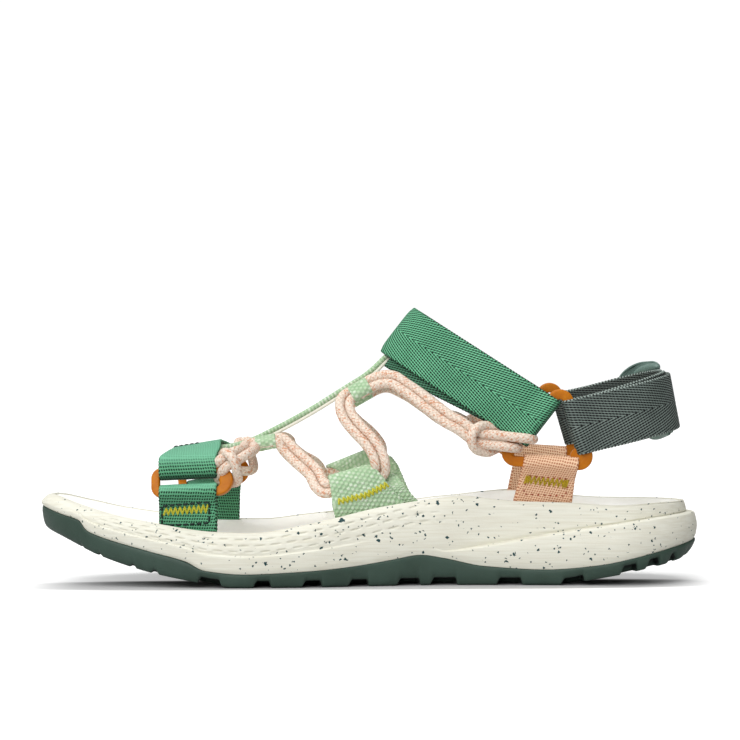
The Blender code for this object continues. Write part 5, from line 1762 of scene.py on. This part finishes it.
# Rods of the rails: place out of the strap's middle, half size there, then x, z and half size
SLIDER_RODS = (
    (-1.4, 1.7, (
        (107.8, 80.8, 0.25), (108.1, 81.0, 0.6), (109.0, 81.8, 1.0), (110.6, 82.7, 1.5), (112.5, 83.3, 1.8),
        (114.4, 83.8, 1.8), (116.1, 84.1, 1.65), (117.0, 84.2, 1.1), (117.4, 84.2, 0.3),
    )),
    (0.7, 0.5, (
        (101.2, 78.3, 0.3), (101.8, 80.0, 0.4), (103.1, 81.8, 0.45), (105.2, 83.7, 0.45), (107.2, 84.9, 0.45),
        (109.6, 85.8, 0.45), (112.2, 86.1, 0.45), (114.5, 86.1, 0.45), (115.6, 85.4, 0.45),
        (116.0, 84.4, 0.4),
    )),
    (-1.0, 1.9, (
        (113.8, 56.0, 0.3), (114.5, 56.2, 1.2), (116.0, 56.7, 1.9), (117.8, 57.3, 1.9), (119.2, 57.8, 1.3),
        (119.8, 58.0, 0.3),
    )),
)

# Outlines of the plates that the rods lie on, x and z, and how a plate is rounded from its inner to its
# outer face
SLIDER_PLATES = (
    ((101.4, 78.3), (102.0, 80.1), (103.3, 81.9), (105.3, 83.7), (107.2, 84.9), (109.6, 85.8), (112.2, 86.1),
     (114.4, 86.1), (115.5, 85.4), (115.9, 84.4), (115.5, 81.6), (110.0, 79.4), (102.8, 76.8)),
    ((113.2, 58.2), (116.4, 59.4), (119.4, 60.4), (119.6, 58.4), (118.6, 57.0), (115.4, 55.8), (113.8, 56.4)),
)
SLIDER_PLATE_FACES = ((0.6, 0.96), (0.9, 1.0), (2.4, 1.0), (2.9, 0.93))

# Bars across the strap: place out of the strap's middle, then x and z of the two ends
SLIDER_BARS = (
    (2.9, (106.0, 80.4), (113.6, 56.8)),
    (2.9, (110.4, 82.2), (116.4, 57.4)),
    (2.9, (114.0, 83.6), (118.2, 58.0)),
    (-2.9, (111.2, 75.6), (116.4, 58.5)),
)
SLIDER_BAR_HALF = 1.0


def slider_mesh():
    flip = vector(1.0, -1.0, 1.0)
    strap = even(half_loop(heel_bar, HEEL_BACK, HEEL_ROUNDNESS, FINE_STEPS), SLIDER_STEP)
    strap = np.array([lifted(place * flip + vector(0.0, ANKLE_Y, 0.0)) for place in strap])
    run = tangents(strap)
    outward = np.array([unit(vector(-forward[1], forward[0], 0.0)) for forward in run])
    outward *= np.sign(outward[:, 1:2])

    def beside(x, z, deep):
        """Place at x and z, deep out of the strap's middle."""
        out = np.stack([np.interp(x, strap[:, 0], column) for column in outward.T], axis=-1)
        return np.stack([x, np.interp(x, strap[:, 0], strap[:, 1]), z], axis=-1) + out * deep

    across, raised = circle(1.0, RING_SIDES)
    made = []
    for deep, half_deep, rows in SLIDER_RODS:
        x, z, half = through(rows, SLIDER_ROD_STEP).T
        taper = np.minimum(half / half.max(), 1.0) ** 0.5
        depth = half_deep * np.outer(taper, raised)
        made.append(sweep(beside(x, z, deep), UP, np.outer(half, across), depth))
    for plate in SLIDER_PLATES:
        x, z = even(np.array(plate + plate[:1]), SLIDER_PLATE_STEP)[:-1].T
        out = unit(beside(SLIDER_X, 0.0, 1.0) - beside(SLIDER_X, 0.0, 0.0))
        middle = beside(x.mean(), z.mean(), 0.0)
        path = np.array([middle + out * deep for deep, _ in SLIDER_PLATE_FACES])
        size = np.array([share for _, share in SLIDER_PLATE_FACES])
        level, height = np.outer(size, (x.mean() - x) / out[1]), np.outer(size, z - z.mean())
        made.append(sweep(path, np.cross(UP, out), level, height))
    for deep, top, bottom in SLIDER_BARS:
        path = np.array([beside(*mix(np.array(top), np.array(bottom), s), deep) for s in (0.0, 0.5, 1.0)])
        made.append(sweep(path, vector(1.0, 0.0, 0.0), SLIDER_BAR_HALF * across, SLIDER_BAR_HALF * raised))
    return joined(made)[:2]


grey_plastic, tree, shader = finish("grey_plastic", 0.4, 0.5)
grain = mottle(tree, 3.0, 3.0)
clouds = mottle(tree, 0.2, 2.0)
put(tree, shader.inputs["Base Color"], tint(tree, clouds, paint(84, 107, 100), paint(106, 131, 122)))
put(tree, shader.inputs["Roughness"], between(tree, grain, 0.3, 0.7, 0.36, 0.5))
relief(tree, shader, grain, 0.04)
piece("heel_slider_plastic", slider_mesh(), grey_plastic, "heel_slider", sharp=60.0)

# Cords. On each side one closed loop of cream braided cord with peach flecks, laid double: hitched on the
# toe ring, through a sleeve, the mid anchor's fold and the second sleeve, and hitched on the heel ring.
CORD_THICK = 1.9
STRAND_SPREAD = 1.92
HEEL_LOOP_FROM_TOP = 23.4
TOE_HITCH_TURN = math.radians(32)
TOE_HITCH_AT = {MEDIAL: (13.4, 5.6), LATERAL: (11.6, 6.4)}
STRAIGHT_IN_SLEEVE = 5.4
STRAIGHT_IN_TUNNEL = 11.0
CORD_SIDES = 16
CORD_SPACING = 0.7
PATH_SPACING = 0.5
HITCH_ROWS = 8
STRAND_STEP = 6
CARRIERS = 5
CARRIER_PITCH = 2.1

# Free points of the doubled cord between its guides: x, distance from the middle, z
ROUTE_TO_SLEEVE = {
    MEDIAL: ((-46.6, 24.4, 52.4),),
    LATERAL: ((-46.2, 26.4, 52.0),),
}
ROUTE_TO_ANCHOR = {
    MEDIAL: ((-32.0, 15.6, 52.0), (-27.4, 19.4, 47.8), (-22.4, 23.8, 43.6)),
    LATERAL: ((-33.0, 16.2, 51.6), (-28.6, 22.2, 47.4), (-23.4, 28.0, 44.2)),
}
ROUTE_TO_SECOND_SLEEVE = {
    MEDIAL: (
        (4.0, 27.0, 46.4), (2.6, 26.0, 51.0), (-0.6, 24.2, 55.6), (-5.0, 21.4, 60.2), (-8.6, 18.2, 64.8),
        (-10.0, 15.6, 69.2),
    ),
    LATERAL: (
        (3.4, 33.4, 49.2), (2.0, 31.6, 53.2), (-1.4, 28.6, 57.2), (-6.0, 24.4, 61.2), (-9.6, 19.8, 65.4),
        (-10.4, 16.2, 69.4),
    ),
}
ROUTE_TO_HEEL = {
    MEDIAL: ((7.8, 14.4, 79.4), (14.4, 18.0, 76.0), (24.0, 24.2, 68.6), (31.5, 28.0, 63.2)),
    LATERAL: ((7.6, 14.4, 77.4), (14.4, 18.0, 74.6), (24.0, 24.2, 68.2), (31.5, 28.0, 63.2)),
}

# Hitches: a strand from where it comes in under the bight, round the ring's bar, and back behind to the
# bight's middle. Distance from the bar towards the cord, distance from the pair's middle, distance out of
# the shoe, and where there is a fourth number, how far both strands lie aside
TOE_HITCH = (
    (8.6, 1.9, 1.2),
    (5.6, 1.9, 2.4),
    (2.8, 1.9, 3.2),
    (0.6, 1.9, 2.8),
    (-1.1, 1.9, 1.35),
    (-2.6, 1.9, -0.6),
    (-3.8, 1.95, -2.3),
    (-4.0, 2.3, -4.0),
    (-3.0, 3.4, -5.4, -0.4),
    (-1.0, 4.6, -6.2, -0.9),
    (0.8, 5.3, -5.4, -1.3),
    (1.8, 5.5, -3.2, -1.4),
    (2.6, 5.2, -0.2, -1.4),
    (3.4, 4.5, 3.0, -1.3),
    (4.3, 2.6, 5.6, -1.2),
)
TOE_BIGHT = (4.7, 0.0, 6.4, -1.2)
HEEL_HITCH = (
    (17.5, 1.95, 1.6),
    (13.0, 1.95, 1.9),
    (7.0, 2.0, 2.8),
    (1.5, 2.05, 3.7),
    (-2.6, 2.1, 3.0),
    (-4.9, 2.1, 0.2),
    (-3.0, 2.2, -3.0),
    (1.2, 2.6, -3.7),
    (5.2, 3.9, -2.4),
    (8.6, 4.8, -0.8),
    (11.6, 5.0, 1.0),
    (14.0, 4.3, 3.2),
    (15.8, 2.4, 4.9),
)
HEEL_BIGHT = (16.4, 0.0, 5.4)
HEEL_SLANT = 1.3
SLANTED_BETWEEN = (-8.0, -1.0)
HEEL_STRANDS_RISE = 0.12
HEEL_ENTRY = 3.2


def free_points(rows, side):
    return [vector(x, side * away, z) for x, away, z in rows]


def straight(middle, forward, half):
    """Points of the cord where a sleeve or a fold holds it straight."""
    return [middle + forward * half * step for step in (-1.0, -0.5, 0.0, 0.5, 1.0)]


def pair_spread(path):
    """Direction across the doubled cord at each point of its path."""
    spreads = []
    for place, forward in zip(path, tangents(path)):
        across = on_instep(place, forward)[1]
        if spreads and np.dot(across, spreads[-1]) < 0:
            across = -across
        spreads.append(across)
    return np.array(spreads)


def hitch(rows, bar, towards, aside, out, strand, slant=0.0):
    """Points of one strand in a hitch, in the bar's own directions. slant is the bar's, across the cord."""
    made = []
    for a, b, c, *shift in rows:
        a -= slant * b * strand * smoothstep(SLANTED_BETWEEN, -a)
        made.append(bar + towards * a + aside * (b * strand + sum(shift)) + out * c)
    return made


def cord(side):
    """Closed loop of cord, laid double from ring to ring."""
    ring_middle, ring_along, ring_up, ring_out = toe_ring_frame(side)
    toe_out = ring_along * math.cos(TOE_HITCH_TURN) + ring_up * math.sin(TOE_HITCH_TURN)
    along_ring, above_ring = TOE_HITCH_AT[side]
    toe_bar = ring_middle + ring_along * along_ring + ring_up * above_ring
    toe_aside = ring_up * math.cos(TOE_HITCH_TURN) - ring_along * math.sin(TOE_HITCH_TURN)
    heel_bar_point = at_ankle(ring_bar(RING_TOP, RING_FRONT, HEEL_LOOP_FROM_TOP), side)
    heel_towards = unit(vector(-1.0, 0.0, HEEL_STRANDS_RISE))
    heel_aside = vector(HEEL_STRANDS_RISE, 0.0, 1.0)
    outside = vector(0.0, side, 0.0)
    rows = [toe_bar + toe_out * TOE_HITCH[0][0] + ring_out * TOE_HITCH[0][2]]
    rows += free_points(ROUTE_TO_SLEEVE[side], side)
    first_sleeve, second_sleeve = [sleeve_frame(*row, side)[:2] for row in SLEEVES]
    rows += straight(*first_sleeve, STRAIGHT_IN_SLEEVE)
    rows += free_points(ROUTE_TO_ANCHOR[side], side)
    rows += straight(*tunnel(side), STRAIGHT_IN_TUNNEL)
    rows += free_points(ROUTE_TO_SECOND_SLEEVE[side], side)
    rows += straight(*second_sleeve, STRAIGHT_IN_SLEEVE)
    rows += free_points(ROUTE_TO_HEEL[side], side)
    entry = heel_towards * HEEL_HITCH[0][0] + UP * HEEL_ENTRY + outside * HEEL_HITCH[0][2]
    rows.append(heel_bar_point + entry)
    path = through(rows, PATH_SPACING)
    across = pair_spread(path)
    standing = range(HITCH_ROWS, len(path) - HITCH_ROWS, STRAND_STEP)
    heel_rows = HEEL_HITCH[1:] + (HEEL_BIGHT,)
    loop = []
    for strand in (1.0, -1.0):
        toe_sign = math.copysign(1.0, np.dot(toe_aside, across[0])) * strand
        heel_sign = math.copysign(1.0, np.dot(heel_aside, across[-1])) * strand
        run = hitch((TOE_BIGHT, *TOE_HITCH[:0:-1]), toe_bar, toe_out, toe_aside, ring_out, toe_sign)
        run += [path[k] + across[k] * STRAND_SPREAD * strand for k in standing]
        run += hitch(heel_rows, heel_bar_point, heel_towards, heel_aside, outside, heel_sign, HEEL_SLANT)
        loop += run[:-1] if strand > 0 else run[:0:-1]
    return through(loop, CORD_SPACING, closed=True)


def cord_skin(path):
    """Round skin of a closed cord, its section carried along evenly so that it meets itself."""
    run = tangents(path, True)
    wide = [unit(np.cross(run[0], UP))]
    for forward in (*run[1:], run[0]):
        wide.append(unit(wide[-1] - forward * np.dot(wide[-1], forward)))
    end = wide.pop()
    off = math.atan2(np.dot(np.cross(wide[0], end), run[0]), np.dot(wide[0], end))
    for k, forward in enumerate(run):
        back = -off * k / len(run)
        wide[k] = wide[k] * math.cos(back) + np.cross(forward, wide[k]) * math.sin(back)
    girth = np.linspace(0.0, 2 * math.pi * CORD_THICK, CORD_SIDES + 1)
    return sweep(path, np.array(wide), *circle(CORD_THICK, CORD_SIDES), True, round_uv=girth)


cord_braid, tree, shader = finish("cord_braid", 0.8, 0.3)
uv, along, around = webbing_place(tree)
along = calc(tree, "DIVIDE", along, CARRIER_PITCH)
around = calc(tree, "MULTIPLY", around, CARRIERS / (2 * math.pi * CORD_RADIUS))
left = calc(tree, "ADD", along, around)
right = calc(tree, "SUBTRACT", along, around)
over = calc(tree, "MODULO", calc(tree, "ADD", calc(tree, "FLOOR", left), calc(tree, "FLOOR", right)), 2.0)
over = calc(tree, "ABSOLUTE", over)
height = calc(tree, "MAXIMUM", calc(tree, "MULTIPLY", ridge(tree, left), over),
              calc(tree, "MULTIPLY", ridge(tree, right), calc(tree, "SUBTRACT", 1.0, over)))
chance = dice(tree, calc(tree, "MULTIPLY", left, 4.0), calc(tree, "MULTIPLY", right, 2.0))
patches = mottle(tree, 0.3, 3.0)
fleck = between(tree, calc(tree, "MULTIPLY_ADD", patches, 0.9, chance), 1.2, 1.32, 0.0, 0.8)
yarn = tint(tree, height, paint(208, 189, 170), paint(236, 219, 204))
put(tree, shader.inputs["Base Color"], tint(tree, fleck, yarn, paint(206, 138, 98)))
relief(tree, shader, height, 0.1)
for side, side_name in SIDES.items():
    piece(f"cord_braid_{side_name}", cord_skin(cord(side)), cord_braid, f"cord_{side_name}")

# Floor, camera and light: a plain white floor under soft light from above and in front. The camera sees the
# floor bright by its own glow, save a painted shadow under the sole, where the glow is off and the floor
# darker.
scene = bpy.context.scene
scene.view_settings.view_transform = "Standard"
FLOOR_REACH = 6.0
FLOOR_GLOW = 0.45

# Painted shadow under the sole: middle and half size in x, and in y, how far it is turned, and its soft edge
SHADOW_PATCH_X = (0.0, 137.0)
SHADOW_PATCH_Y = (-27.5, 25.0)
SHADOW_PATCH_TURN = 0.06
SHADOW_PATCH_EDGE = (0.3, 1.15)


def grey(level):
    return (level, level, level, 1.0)


floor_mesh = bpy.data.meshes.new("floor")
corners = [(x * FLOOR_REACH, y * FLOOR_REACH, 0.0) for x, y in ((-1, -1), (1, -1), (1, 1), (-1, 1))]
floor_mesh.from_pydata(corners, [], [(0, 1, 2, 3)])
floor = stand("floor", floor_mesh)
floor_paint, tree, shader = finish("floor_paint", 0.9, 0.0)
seen = tree.nodes.new("ShaderNodeLightPath").outputs["Is Camera Ray"]
shader.inputs["Emission Color"].default_value = grey(1.0)
x, y, _ = split(tree, own_place(tree))
turned = calc(tree, "MULTIPLY_ADD", x, -SHADOW_PATCH_TURN, y)
reach = []
for place, (middle, half) in ((x, SHADOW_PATCH_X), (turned, SHADOW_PATCH_Y)):
    off = calc(tree, "DIVIDE", calc(tree, "SUBTRACT", place, middle), half)
    reach.append(calc(tree, "POWER", calc(tree, "ABSOLUTE", off), 4.0))
# Painted shadow under the sole: the camera's glow is off there and the floor's colour is darker
outside = between(tree, calc(tree, "ADD", *reach), *SHADOW_PATCH_EDGE)
glow = calc(tree, "MULTIPLY", seen, calc(tree, "MULTIPLY", outside, FLOOR_GLOW))
put(tree, shader.inputs["Emission Strength"], glow)
floor_with_painted_shadow = tint(tree, outside, grey(0.47), grey(0.75))
put(tree, shader.inputs["Base Color"], tint(tree, seen, grey(0.6), floor_with_painted_shadow))
floor_mesh.materials.append(floor_paint)

world = bpy.data.worlds.new("studio")
world.use_nodes = True
tree = world.node_tree
background = tree.nodes["Background"]
background.inputs["Color"].default_value = grey(1.0)
seen = tree.nodes.new("ShaderNodeLightPath").outputs["Is Camera Ray"]
towards_heel = split(tree, tree.nodes.new("ShaderNodeTexCoord").outputs["Generated"])[0]
ambient = between(tree, towards_heel, -0.2, 0.8, 0.54, 0.16)
put(tree, background.inputs["Strength"], between(tree, seen, 0.0, 1.0, ambient, 1.05))
scene.world = world

# Wide soft light from above, and a softbox in front
overhead_light = bpy.data.lights.new("overhead", "SUN")
overhead_light.energy = 1.8
overhead_light.angle = math.radians(60)
overhead = stand("overhead", overhead_light)
overhead.rotation_euler = (math.radians(10), math.radians(-8), 0.0)
front_light = bpy.data.lights.new("softbox_front", "AREA")
front_light.size = 1.0
front_light.energy = 16.0
front = stand("softbox_front", front_light)
front.location = (-0.5, -1.6, 0.9)
front.rotation_euler = (-front.location).to_track_quat("-Z", "Y").to_euler()

CAMERA_AWAY = 1.0
CAMERA_HEIGHT = 0.083
FOCAL_PIXELS = 2515.0
IMAGE_PIXELS = 740.0
SENSOR = 36.0
lens = bpy.data.cameras.new("camera")
lens.sensor_width = SENSOR
lens.lens = FOCAL_PIXELS / IMAGE_PIXELS * SENSOR
lens.clip_start = 0.01
camera = stand("camera", lens)
camera.location = (0.0, -CAMERA_AWAY, CAMERA_HEIGHT)
camera.rotation_euler = (math.pi / 2, 0.0, 0.0)
scene.camera = camera
